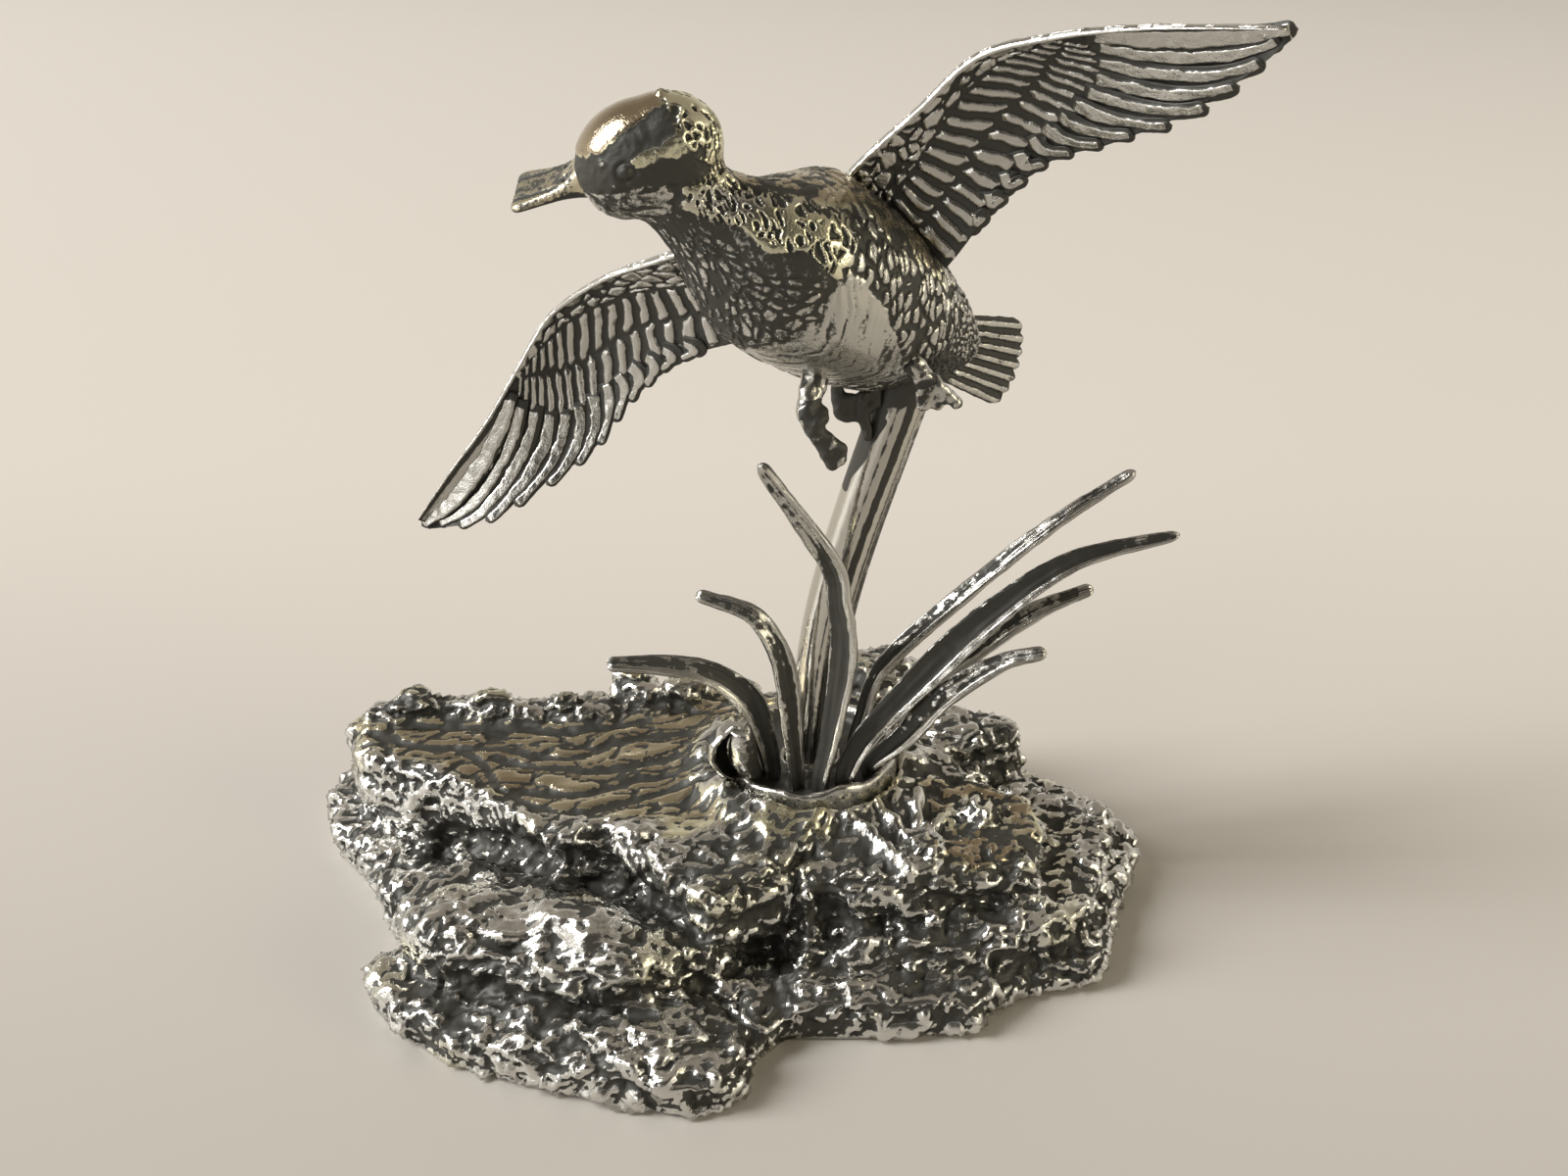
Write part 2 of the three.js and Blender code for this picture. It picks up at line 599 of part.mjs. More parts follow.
function wingPeg(wing, grow) {
  const { at, normal, outward } = wingPlace(wing, WING_PEG.rootSpan, WING_PEG.chord);
  const surface = BODY_HALF_WIDTH - Math.abs(at.y);
  const station = (out) => ({
    at: at.clone().addScaledVector(outward, out),
    width: WING_PEG.width + 2 * grow,
    height: WING_PEG.height + 2 * grow,
  });
  return loft([station(surface - PEG_LENGTH - grow), station(surface + PEG_LENGTH)], normal, 10);
}

function wing(each) {
  const plate = filled(join([wingPlate(each), ...flightFeathers(each)].map(solid)));
  return plate.subtract(solid(trunk(SLIP))).add(solid(wingPeg(each, 0)));
}

// Legs: hip inside the belly, then the joints down to the foot, and the tips of the toes
const LEGS = {
  right_leg: {
    hip: [-0.2, -3.6, -4.2],
    joints: [[0.6, -5.9, -7.8], [0.1, -6.1, -9.6]],
    toes: [[-1.1, -5.4, -13], [-2, -4.6, -12.4], [-2.6, -4.4, -11.2]],
  },
  left_leg: {
    hip: [-5.2, 1.2, -4.6],
    joints: [[-6.4, 2, -7.6], [-7.6, 2, -8.6]],
    toes: [[-9, 1.2, -10], [-10.4, 2, -9.8], [-11, 2.8, -9]],
  },
};
const LEG_PEG_RADIUS = 0.9;

function bar(from, to, radiusFrom, radiusTo, sides = 8) {
  const stations = [
    { at: from, width: 2 * radiusFrom, height: 2 * radiusFrom },
    { at: to, width: 2 * radiusTo, height: 2 * radiusTo },
  ];
  return loft(stations, new THREE.Vector3(0.3, 1, 0.2), sides);
}

function legPeg({ hip, joints }, grow) {
  const down = vec(joints[0]).sub(vec(hip)).normalize();
  const start = vec(hip).addScaledVector(down, -grow);
  const end = vec(hip).addScaledVector(down, PEG_LENGTH * 2);
  return bar(start, end, LEG_PEG_RADIUS + grow, LEG_PEG_RADIUS + grow);
}

function leg(each) {
  const [hip, knee, ankle] = [each.hip, ...each.joints].map(vec);
  const toes = each.toes.map(vec);
  const pieces = [
    bar(hip, knee, LEG_RADIUS * 1.3, LEG_RADIUS, 10),
    new THREE.SphereGeometry(LEG_RADIUS * 1.1, 8, 6).translate(...knee),
    bar(knee, ankle, LEG_RADIUS, LEG_RADIUS * 0.9),
    new THREE.SphereGeometry(LEG_RADIUS, 8, 6).translate(...ankle),
    ...toes.map((toe) => bar(ankle, toe, LEG_RADIUS * 0.8, LEG_RADIUS * 0.5, 6)),
  ];
  const across = toes[2].clone().sub(toes[0]);
  const flat = across.clone().cross(toes[1].clone().sub(ankle)).normalize();
  const web = [
    { at: ankle, width: LEG_RADIUS, height: WEB_THICKNESS },
    { at: ankle.clone().lerp(toes[1], 0.85), width: across.length() * 0.85, height: WEB_THICKNESS },
  ];
  return join([...pieces, loft(web, flat, 8)].map(solid))
    .subtract(solid(trunk(SLIP)))
    .add(solid(legPeg(each, 0)));
}

// Materials: the same blackened and polished pewter, brighter on the rod and the rod's neighbours
const pewter = (colour, roughness) => () =>
  new THREE.MeshStandardMaterial({ color: colour, metalness: 1, roughness });
const castPewter = pewter(0xa9a89e, 0.34);
const darkPewter = pewter(0x77746b, 0.4);
const brightRod = pewter(0xc9c8c2, 0.14);

function named(name, body, material) {
  const mesh = new THREE.Mesh(geometryOf(body), material());
  mesh.name = name;
  return mesh;
}

const figurine = new THREE.Group();
figurine.add(named("rock_base", rockBase(), darkPewter));
figurine.add(named("support_rod", solid(rod(0)), brightRod));
figurine.add(named("reed_collar", reedCollar(), darkPewter));
for (const [name, each] of Object.entries(LEAVES)) figurine.add(named(name, leaf(each), castPewter));

duck.add(named("duck_body", duckBody(), castPewter));
for (const [name, each] of Object.entries(WINGS)) duck.add(named(name, wing(each), castPewter));
for (const [name, each] of Object.entries(LEGS)) duck.add(named(name, leg(each), castPewter));
figurine.add(duck);

export default figurine;
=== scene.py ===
"""A pewter duck in flight on a polished rod, over reeds on a rocky base."""
import math

import bpy
import numpy as np
from bpy.props import FloatProperty, FloatVectorProperty, PointerProperty
from mathutils import Euler, Matrix, Vector


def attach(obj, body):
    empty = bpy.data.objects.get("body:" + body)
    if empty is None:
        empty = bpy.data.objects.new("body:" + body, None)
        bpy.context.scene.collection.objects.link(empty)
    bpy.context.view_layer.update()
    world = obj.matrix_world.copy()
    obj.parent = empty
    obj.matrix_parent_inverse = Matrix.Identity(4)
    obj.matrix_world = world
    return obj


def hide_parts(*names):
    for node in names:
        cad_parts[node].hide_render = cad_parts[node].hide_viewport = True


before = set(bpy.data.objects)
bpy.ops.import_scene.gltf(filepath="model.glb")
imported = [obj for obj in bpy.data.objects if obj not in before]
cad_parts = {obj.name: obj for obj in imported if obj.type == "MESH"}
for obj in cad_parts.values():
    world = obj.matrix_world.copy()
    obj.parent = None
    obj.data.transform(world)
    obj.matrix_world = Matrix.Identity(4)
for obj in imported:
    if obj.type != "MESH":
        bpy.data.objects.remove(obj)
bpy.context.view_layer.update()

bl_info = {
    "name": "Flying duck figurine",
    "version": (1, 0, 0),
    "blender": (4, 5, 0),
    "location": "View3D > Sidebar > Figurine",
    "description": "Builds a cast pewter duck in flight, its rod, its reeds and its rocky base",
    "category": "Add Mesh",
}

MM = 0.001

# Duck: its own frame is +X forward, +Y to its left, +Z up, in millimetres and degrees
DUCK_PLACE = (8.6, -2, 59.9)
DUCK_TURN = (45, -27.4, -140)  # bank, climb and heading
HEAD_PLACE = (17.9, -0.4, 4.7)
HEAD_TURN = (-14, 16, 178)
HEAD_SIZE = (9.8, 7.8, 8.4)
BODY_HALF_WIDTH = 7.5
BODY_HALF_HEIGHT = 7.2


def linear(code):
    """Linear colour of an sRGB hex value."""
    values = [int(code[i : i + 2], 16) / 255 for i in (1, 3, 5)]
    return tuple(v / 12.92 if v <= 0.04045 else ((v + 0.055) / 1.055) ** 2.4 for v in values)


def colour(name, code, description):
    """A colour setting whose default is an sRGB hex value."""
    return FloatVectorProperty(
        name=name, description=description, default=linear(code), subtype="COLOR", min=0, max=1
    )


def length(name, millimetres, description):
    """A length setting whose default is in millimetres."""
    return FloatProperty(
        name=name, description=description, default=millimetres * MM, unit="LENGTH", precision=5, min=0
    )


class FigurineFinish(bpy.types.PropertyGroup):
    # Also the colour of the painted highlights on the reed edges and in the curled leaf
    bright: colour("Bright pewter", "#C8C6C0", "Metal polished on the raised detail")
    warm: colour("Warm pewter", "#E6E2C6", "Metal where the lacquer has yellowed")
    rubbed: colour("Rubbed pewter", "#DAD9D4", "Metal of the base")
    brown: colour("Brown pewter", "#B5A78F", "Metal where the lacquer has browned")
    # Also the colour of the painted shade and painted reflections, which are drawn as oxide
    patina_and_painted_shade: colour("Patina", "#43423D", "Black oxide left in the recesses")
    rod: colour("Rod", "#C7C4BC", "Polished rod")


class FigurineRelief(bpy.types.PropertyGroup):
    wing: length("Wing feathers", 0.3, "Depth of the gaps between wing feathers")
    body: length("Body feathers", 0.26, "Depth of the scale feathers on the body")
    reed: length("Reed veins", 0.1, "Depth of the veins along a reed")
    rock: length("Rock", 0.8, "Height of the rock's lumps")


class FigurineStage(bpy.types.PropertyGroup):
    floor: colour("Floor", "#DAD4CB", "Colour of the table")
    floor_size: length("Floor size", 5000, "Side of the floor")


# Shapes in numbers: every array of points is in millimetres


def smooth(low, high, value):
    """0 below `low`, 1 above `high`, and a smooth step between them."""
    share = np.clip((value - low) / (high - low), 0, 1)
    return share * share * (3 - 2 * share)


def blend(a, b, share):
    return a + (b - a) * share


def peak(offset, width, power=2):
    """1 where `offset` is 0, and falling to both sides of it."""
    return np.exp(-((offset / width) ** power))


def rounded(past, least, power=2):
    """How a round edge closes: from 1 to `least` while `past` goes from 0 to 1."""
    return np.sqrt(np.clip(1 - past.clip(0) ** power, least, 1))


def squarer(wave, power):
    """A sine or cosine drawn out, so that a round section gets flatter sides."""
    return np.sign(wave) * np.abs(wave) ** power


def left_half(points):
    """Points with those on the right side mirrored to the left side."""
    return points * (1, 0, 1) + np.abs(points) * (0, 1, 0)


# Large unrelated numbers, which scatter the values of neighbouring cells
CELL_WEIGHTS = np.array([127.1, 311.7, 74.7])
SEED_WEIGHT = 57.3
SCATTER = 43758.5453


def cell_values(cells, seed):
    """A repeatable value from 0 to 1 for each whole-numbered cell."""
    mixed = np.sin(cells @ CELL_WEIGHTS + seed * SEED_WEIGHT) * SCATTER
    return mixed - np.floor(mixed)


def cell_triples(cells, seed):
    """Three repeatable values from 0 to 1 for each whole-numbered cell."""
    return np.stack([cell_values(cells, seed + k) for k in range(3)], axis=1)


def noise(points, size, seed):
    """Smooth noise from -1 to 1 whose lumps are `size` apart, one size or three."""
    scaled = points / np.array(size)
    base = np.floor(scaled)
    share = smooth(0, 1, scaled - base)
    total = np.zeros(len(points))
    for corner in np.ndindex(2, 2, 2):
        weight = np.prod(np.where(corner, share, 1 - share), axis=1)
        total += weight * cell_values(base + corner, seed)
    return 2 * total - 1


def rough(points, size, seed, octaves=3):
    """Noise with finer noise on it."""
    size = np.array(size, float)
    return sum(noise(points, size / 2**k, seed + k) / 2**k for k in range(octaves))


FAR = 1e9  # further than any distance here


def crumbs(points, seed):
    """Distances to the nearest and the second nearest of grains that lie scattered, one in each cell."""
    base = np.floor(points)
    nearest = np.full((2, len(points)), FAR)
    for corner in np.ndindex(3, 3, 3):
        cell = base + corner - 1
        grain = cell + cell_triples(cell, seed)
        distance = np.linalg.norm(points - grain, axis=1)
        nearest[1] = np.minimum(nearest[1], np.maximum(nearest[0], distance))
        nearest[0] = np.minimum(nearest[0], distance)
    return nearest


def facets(points, size, seed):
    """Heights, mostly from -1 to 1, of flat tilted chips about `size` across."""
    scaled = points / np.array(size)
    base = np.floor(scaled)
    nearest = np.full(len(points), FAR)
    height = np.zeros(len(points))
    for corner in np.ndindex(3, 3, 3):
        cell = base + corner - 1
        grain, tilt = cell_triples(cell, seed), cell_triples(cell, seed + 3)
        offset = scaled - cell - grain
        distance = np.linalg.norm(offset, axis=1)
        closer = distance < nearest
        level = 1.4 * cell_values(cell, seed + 6) - 0.7 + 2 * (offset * (tilt - 0.5)).sum(axis=1)
        height = np.where(closer, level, height)
        nearest = np.minimum(nearest, distance)
    return height


def curve(points, shares):
    """Places on a smooth curve through points, at shares of the way, where each point is one step on."""
    points = np.array(points, float)
    last = len(points) - 1
    padded = np.vstack([2 * points[0] - points[1], points, 2 * points[-1] - points[-2]])
    place = np.clip(shares, 0, 1) * last
    start = np.minimum(place.astype(int), last - 1)
    t = (place - start)[:, None]
    a, b, c, d = (padded[start + k] for k in range(4))
    return 0.5 * (2 * b + (c - a) * t + (2 * a - 5 * b + 4 * c - d) * t**2 + (3 * (b - c) + d - a) * t**3)


def even_curve(points, count):
    """Evenly spaced places on a smooth curve through points."""
    fine = curve(points, np.linspace(0, 1, 400))
    run = np.concatenate([[0], np.cumsum(np.linalg.norm(np.diff(fine, axis=0), axis=1))])
    wanted = np.linspace(0, run[-1], count)
    return np.stack([np.interp(wanted, run, fine[:, axis]) for axis in range(3)], axis=1)


def unit(vectors):
    return vectors / np.linalg.norm(vectors, axis=-1, keepdims=True)


def side_and_face(path, face):
    """Directions along a path, to its side and out of its face."""
    along = unit(np.gradient(path, axis=0))
    face = np.array(face, float)
    out = unit(face - (along @ face)[:, None] * along)
    return np.cross(out, along), out


def tube_faces(rows, count):
    """Faces of a closed skin through rings of points, with its ends fanned to two added points."""
    i, j = (grid.ravel() for grid in np.meshgrid(range(rows - 1), range(count), indexing="ij"))
    a, b = i * count + j, i * count + (j + 1) % count
    quads = np.stack([a, b, b + count, a + count], axis=1).tolist()
    ring = np.arange(count)
    after = (ring + 1) % count
    top = (rows - 1) * count
    low_end = np.stack([after, ring, np.full(count, rows * count)], axis=1).tolist()
    high_end = np.stack([top + ring, top + after, np.full(count, rows * count + 1)], axis=1).tolist()
    return quads + low_end + high_end


def closed_rings(rings):
    """Points and faces of a closed skin through rings."""
    points = np.concatenate([rings.reshape(-1, 3), rings[:1].mean(axis=1), rings[-1:].mean(axis=1)])
    return points, tube_faces(*rings.shape[:2])


def with_ends(values, foot=0, tip=0):
    """Values on the points of a closed skin through rings: those of the rings, and of the two ends."""
    return np.concatenate([np.ravel(values), [foot, tip]])


def both_faces(front, back):
    """Rings of points or values that run over the front of a sheet and return over its back."""
    return np.concatenate([front, back[:, ::-1]], axis=1)


# Meshes

MERGE_DISTANCE = 0.002


def coordinates(piece):
    flat = np.empty(len(piece.data.vertices) * 3)
    piece.data.vertices.foreach_get("co", flat)
    return flat.reshape(-1, 3) / MM


def place_points(piece, points):
    piece.data.vertices.foreach_set("co", (points * MM).ravel())
    piece.data.update()


def point_normals(piece):
    flat = np.empty(len(piece.data.vertices) * 3)
    piece.data.vertex_normals.foreach_get("vector", flat)
    return flat.reshape(-1, 3)


def push_out(piece, points, height):
    """Gives a piece its points again, each moved along the normal by its height, and returns them."""
    points = points + point_normals(piece) * height[:, None]
    place_points(piece, points)
    return points


def select_nothing():
    bpy.ops.object.select_all(action="DESELECT")


def select_only(*pieces):
    select_nothing()
    for piece in pieces:
        piece.select_set(True)
    bpy.context.view_layer.objects.active = pieces[0]


def in_edit_mode(piece, *steps):
    """Runs edit-mode steps on all of a piece."""
    select_only(piece)
    bpy.ops.object.mode_set(mode="EDIT")
    bpy.ops.mesh.select_all(action="SELECT")
    for step in steps:
        step()
    bpy.ops.object.mode_set(mode="OBJECT")


def face_outwards():
    bpy.ops.mesh.normals_make_consistent(inside=False)


def merge_points():
    bpy.ops.mesh.remove_doubles(threshold=MERGE_DISTANCE * MM)


def piece_from(name, points, faces):
    """A smooth closed piece from points in millimetres and faces."""
    mesh = bpy.data.meshes.new(name)
    mesh.from_pydata((points * MM).tolist(), [], faces)
    piece = bpy.data.objects.new(name, mesh)
    bpy.context.scene.collection.objects.link(piece)
    in_edit_mode(piece, face_outwards)
    mesh.shade_smooth()
    return piece


def turn_outwards(piece, shells=1):
    """Turns round those of a piece's equal closed shells that face_outwards left facing inwards.

    It goes by their volume, which that operator doesn't, so it also holds for thin and rolled sheets.
    """
    mesh = piece.data
    mesh.calc_loop_triangles()
    corners = np.empty(3 * len(mesh.loop_triangles), int)
    mesh.loop_triangles.foreach_get("vertices", corners)
    one, two, three = coordinates(piece)[corners].reshape(-1, 3, 3).transpose(1, 0, 2)
    volumes = (one * np.cross(two, three)).sum(axis=1).reshape(shells, -1).sum(axis=1)
    size = len(mesh.polygons) // shells
    for shell in np.flatnonzero(volumes < 0):
        for polygon in mesh.polygons[shell * size : (shell + 1) * size]:
            polygon.flip()
    mesh.update()


def apply_modifier(piece, kind, **values):
    modifier = piece.modifiers.new(kind.title(), kind)
    for name, value in values.items():
        setattr(modifier, name, value)
    select_only(piece)
    bpy.ops.object.modifier_apply(modifier=modifier.name)


def fused(name, pieces, voxel, softening):
    """Pieces joined to one skin, with the joins between them softened."""
    select_only(*pieces)
    bpy.ops.object.join()
    whole = bpy.context.view_layer.objects.active
    bpy.ops.object.transform_apply(location=True, rotation=True, scale=True)
    whole.name = whole.data.name = name
    apply_modifier(whole, "REMESH", mode="VOXEL", voxel_size=voxel * MM)
    apply_modifier(whole, "SMOOTH", factor=0.5, iterations=softening)
    apply_modifier(whole, "SUBSURF", levels=1, render_levels=1)
    whole.data.shade_smooth()
    return whole


def ball(place, size, turn=None):
    """A ball from a primitive, stretched to three sizes, turned by a matrix."""
    select_nothing()
    bpy.ops.mesh.primitive_uv_sphere_add(segments=32, ring_count=20, radius=0.5 * MM)
    made = bpy.context.object
    in_edit_mode(made, lambda: bpy.ops.transform.resize(value=size))
    if turn is not None:
        made.data.transform(turn.to_4x4())
    made.data.transform(Matrix.Translation(Vector(place) * MM))
    return made


def taper(start, end, start_radius, end_radius):
    """A round bar from one place to another, from a primitive cone."""
    start, end = Vector(start) * MM, Vector(end) * MM
    select_nothing()
    bpy.ops.mesh.primitive_cone_add(
        vertices=20, radius1=start_radius * MM, radius2=end_radius * MM, depth=(end - start).length
    )
    made = bpy.context.object
    turn = (end - start).to_track_quat("Z", "Y").to_matrix().to_4x4()
    made.data.transform(Matrix.Translation((start + end) / 2) @ turn)
    return made


def raised(piece, steps):
    """How far each point of a piece stands above its surroundings, in millimetres."""
    points = coordinates(piece)
    count = len(points)
    edges = np.empty(len(piece.data.edges) * 2, int)
    piece.data.edges.foreach_get("vertices", edges)
    one, other = edges.reshape(-1, 2).T
    near = (np.bincount(one, minlength=count) + np.bincount(other, minlength=count))[:, None]
    soft = points.copy()
    for _ in range(steps):
        total = np.stack(
            [
                np.bincount(one, soft[other, axis], count) + np.bincount(other, soft[one, axis], count)
                for axis in range(3)
            ],
            axis=1,
        )
        soft = 0.4 * soft + 0.6 * total / near
    return ((points - soft) * point_normals(piece)).sum(axis=1)


def set_polish_and_painted_light(piece, polish_and_painted_light, warm=0):
    """Keeps how far the oxide was polished off, with the painted shade, highlights and reflections drawn in
    it, and the lacquer's age: 0.5 where yellow, 1 where brown.
    """
    count = len(piece.data.vertices)
    for name, values in {"polish_and_painted_light": polish_and_painted_light, "warm": warm}.items():
        attribute = piece.data.attributes.new(name, "FLOAT", "POINT")
        full = np.clip(values, 0, 1) * np.ones(count)
        attribute.data.foreach_set("value", full.astype(np.float32))


def hand_over(piece, material, slot, *nodes):
    """Gives a finished piece its material and its body, and hides the nodes that it stands for. Its slot is
    not used.
    """
    piece.data.materials.clear()
    piece.data.materials.append(material)
    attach(piece, "root")
    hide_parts(*nodes)


def turned(degrees):
    """The matrix of a turn in degrees about X, Y and Z."""
    return Euler(map(math.radians, degrees)).to_matrix()


DUCK = Matrix.Translation(Vector(DUCK_PLACE) * MM) @ turned(DUCK_TURN).to_4x4()
HEAD_IN_DUCK = DUCK.to_3x3().inverted() @ turned(HEAD_TURN)


# Materials


def add(tree, kind, options=None, values=None, links=None):
    """Adds a node with its options, its unlinked values and its links."""
    node = tree.nodes.new(kind)
    for name, value in (options or {}).items():
        setattr(node, name, value)
    for socket, value in (values or {}).items():
        node.inputs[socket].default_value = value
    for socket, source in (links or {}).items():
        tree.links.new(source, node.inputs[socket])
    return node


# A mix node's sockets by number, because their names repeat: the share, what is mixed, and the result
MIX_SHARE = 0
NUMBER_FROM, NUMBER_TO, NUMBER_RESULT = 2, 3, 0
COLOUR_FROM, COLOUR_TO, COLOUR_RESULT = 6, 7, 2
NUMBERS = {"data_type": "FLOAT"}
COLOURS = {"data_type": "RGBA"}
SOFT_STEP = {"interpolation_type": "SMOOTHSTEP"}

# Antiqued pewter: the levels of polish over which the oxide gives way to metal, and the oxide's own finish
RUBBED_FROM, RUBBED_TO = 0.39, 0.57
OXIDE_METALLIC = 0.35
OXIDE_ROUGHNESS = 0.48
# The thickest brown lacquer, as on the crown, is smoother than the metal
LACQUER_FROM, LACQUER_TO = 0.94, 1.0
LACQUER_ROUGHNESS = 0.13
PIT_STRENGTH = 0.35
PIT_DEPTH = 0.08


def empty_tree(owner):
    """The node tree of a material or world, cleared."""
    owner.use_nodes = True
    owner.node_tree.nodes.clear()
    return owner.node_tree


def antiqued_pewter(name, bright, grain, metal_roughness=0.24):
    """Cast pewter, blackened and rubbed, with a grain in millimetres.

    To the eye it is bright metal on the raised detail that breaks up into black oxide towards each recess.
    """
    finish = bpy.context.scene.figurine_finish
    material = bpy.data.materials.new(name)
    tree = empty_tree(material)
    place = add(tree, "ShaderNodeTexCoord").outputs["Object"]
    # This attribute holds how far the oxide is rubbed off, and also painted shade, painted highlights and
    # painted reflections
    polish_and_painted_light = add(tree, "ShaderNodeAttribute", {"attribute_name": "polish_and_painted_light"}).outputs["Fac"]
    # The oxide breaks up in specks the size of the casting's grain
    specks = add(
        tree,
        "ShaderNodeTexNoise",
        values={"Scale": 1 / (grain * MM), "Detail": 3.0, "Roughness": 0.6},
        links={"Vector": place},
    ).outputs["Fac"]
    broken = add(
        tree,
        "ShaderNodeMath",
        {"operation": "MULTIPLY_ADD"},
        values={1: 0.8, 2: -0.4},
        links={0: specks},
    ).outputs[0]
    level = add(tree, "ShaderNodeMath", {"operation": "ADD"}, links={0: polish_and_painted_light, 1: broken}).outputs[0]
    rubbed = add(
        tree,
        "ShaderNodeMapRange",
        SOFT_STEP,
        values={"From Min": RUBBED_FROM, "From Max": RUBBED_TO},
        links={"Value": level},
    ).outputs["Result"]
    yellowed = add(tree, "ShaderNodeAttribute", {"attribute_name": "warm"}).outputs["Fac"]
    ramp = add(tree, "ShaderNodeValToRGB", links={"Fac": yellowed})
    ramp.color_ramp.elements.new(0.5)
    for stop, tone in zip(ramp.color_ramp.elements, (bright, finish.warm, finish.brown)):
        stop.color = (*tone, 1)
    base = add(
        tree,
        "ShaderNodeMix",
        COLOURS,
        values={COLOUR_FROM: (*finish.patina_and_painted_shade, 1)},
        links={MIX_SHARE: rubbed, COLOUR_TO: ramp.outputs["Color"]},
    ).outputs[COLOUR_RESULT]
    # Oxide is a dull crust, and only what is rubbed is bare metal
    metallic = add(
        tree,
        "ShaderNodeMix",
        NUMBERS,
        values={NUMBER_FROM: OXIDE_METALLIC, NUMBER_TO: 1.0},
        links={MIX_SHARE: rubbed},
    ).outputs[NUMBER_RESULT]
    worn = add(
        tree,
        "ShaderNodeMix",
        NUMBERS,
        values={NUMBER_FROM: OXIDE_ROUGHNESS, NUMBER_TO: metal_roughness},
        links={MIX_SHARE: rubbed},
    ).outputs[NUMBER_RESULT]
    lacquered = add(
        tree,
        "ShaderNodeMapRange",
        values={"From Min": LACQUER_FROM, "From Max": LACQUER_TO},
        links={"Value": yellowed},
    ).outputs["Result"]
    roughness = add(
        tree,
        "ShaderNodeMix",
        NUMBERS,
        values={NUMBER_TO: LACQUER_ROUGHNESS},
        links={MIX_SHARE: lacquered, NUMBER_FROM: worn},
    ).outputs[NUMBER_RESULT]
    pits = add(
        tree,
        "ShaderNodeTexNoise",
        values={"Scale": 1 / (0.5 * grain * MM), "Detail": 4.0},
        links={"Vector": place},
    ).outputs["Fac"]
    bump = add(
        tree,
        "ShaderNodeBump",
        values={"Strength": PIT_STRENGTH, "Distance": PIT_DEPTH * MM},
        links={"Height": pits},
    ).outputs["Normal"]
    shader = add(
        tree,
        "ShaderNodeBsdfPrincipled",
        links={"Base Color": base, "Metallic": metallic, "Roughness": roughness, "Normal": bump},
    )
    add(tree, "ShaderNodeOutputMaterial", links={"Surface": shader.outputs["BSDF"]})
    return material


def body_pewter():
    """The pewter of the duck, its wings and legs, the reeds and the collar, made once."""
    name = "Antiqued cast pewter"
    bright = bpy.context.scene.figurine_finish.bright
    return bpy.data.materials.get(name) or antiqued_pewter(name, bright, grain=0.35)


# Rock

CARVING_VOXEL = 0.4
ROCK_VOXEL = 0.335
ROD_FOOT = (7.3, 2.3)
COLLAR_RADIUS = 8.2  # the rock is left plain under it
PLATEAU_EDGE = 2.0  # the left plateau's bark lies to the left of this and behind its front edge


class FIGURINE_OT_rock(bpy.types.Operator):
    """Breaks the blocks of the base up into terraces, cracks and crumbs of cast rock"""

    bl_idname = "figurine.rock"
    bl_label = "Rocky base"

    def execute(self, context):
        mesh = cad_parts["rock_base"].data.copy()
        rock = bpy.data.objects.new("rock_casting", mesh)
        context.scene.collection.objects.link(rock)
        in_edit_mode(rock, merge_points)
        apply_modifier(rock, "REMESH", mode="VOXEL", voxel_size=CARVING_VOXEL * MM)
        apply_modifier(rock, "SMOOTH", factor=0.5, iterations=4)
        carve_rock(rock)
        apply_modifier(rock, "REMESH", mode="VOXEL", voxel_size=ROCK_VOXEL * MM)
        apply_modifier(rock, "SMOOTH", factor=0.5, iterations=2)
        cut_rock(rock, context.scene.figurine_relief.rock / MM)
        rock.data.shade_smooth()
        rubbed = context.scene.figurine_finish.rubbed
        rough_pewter = antiqued_pewter("Antiqued cast pewter, rough", rubbed, grain=0.4, metal_roughness=0.2)
        hand_over(rock, rough_pewter, "dark_pewter", "rock_base")
        return {"FINISHED"}


# Black hollows under the ledges: stations, reach and depth
HOLLOWS = [
    (
        [(-28.5, -1.2, 5.5), (-23.5, -3, 6.8), (-18.6, -6.6, 8.8), (-13.8, -8.8, 9.2), (-9.5, -10, 8.6)],
        2.5, 1.5,
    ),
    ([(-9.5, -10.2, 8.4), (-7, -12, 8.2), (-3.8, -15, 8), (-1, -17, 7.6)], 1.6, 0.9),
    ([(-24.5, -18.8, 4.6), (-19.5, -20.2, 5.4), (-14, -21.8, 5.6), (-9, -22.3, 4.9)], 1.5, 0.9),
    ([(-4.4, -17, 7), (-2.5, -19.5, 6), (0.5, -20, 4.4), (2.2, -23.5, 3.5), (2, -26, 2.5)], 1.7, 1.0),
    ([(1.5, -15.2, 4.8), (4.4, -14.4, 4.6), (8, -16, 5.4), (9.5, -15, 6.8), (8.3, -13.9, 9.4)], 2.0, 1.3),
    ([(17.5, -13.3, 9), (20, -12.8, 8.3), (22.8, -12, 7.8)], 1.7, 0.9),
    ([(23.8, -15.7, 3.4), (27.5, -15.3, 3.2), (30, -14, 3)], 1.5, 0.7),
    ([(13, -13.5, 8), (14.5, -14.5, 6.5), (15, -17, 5)], 1.5, 0.8),
]
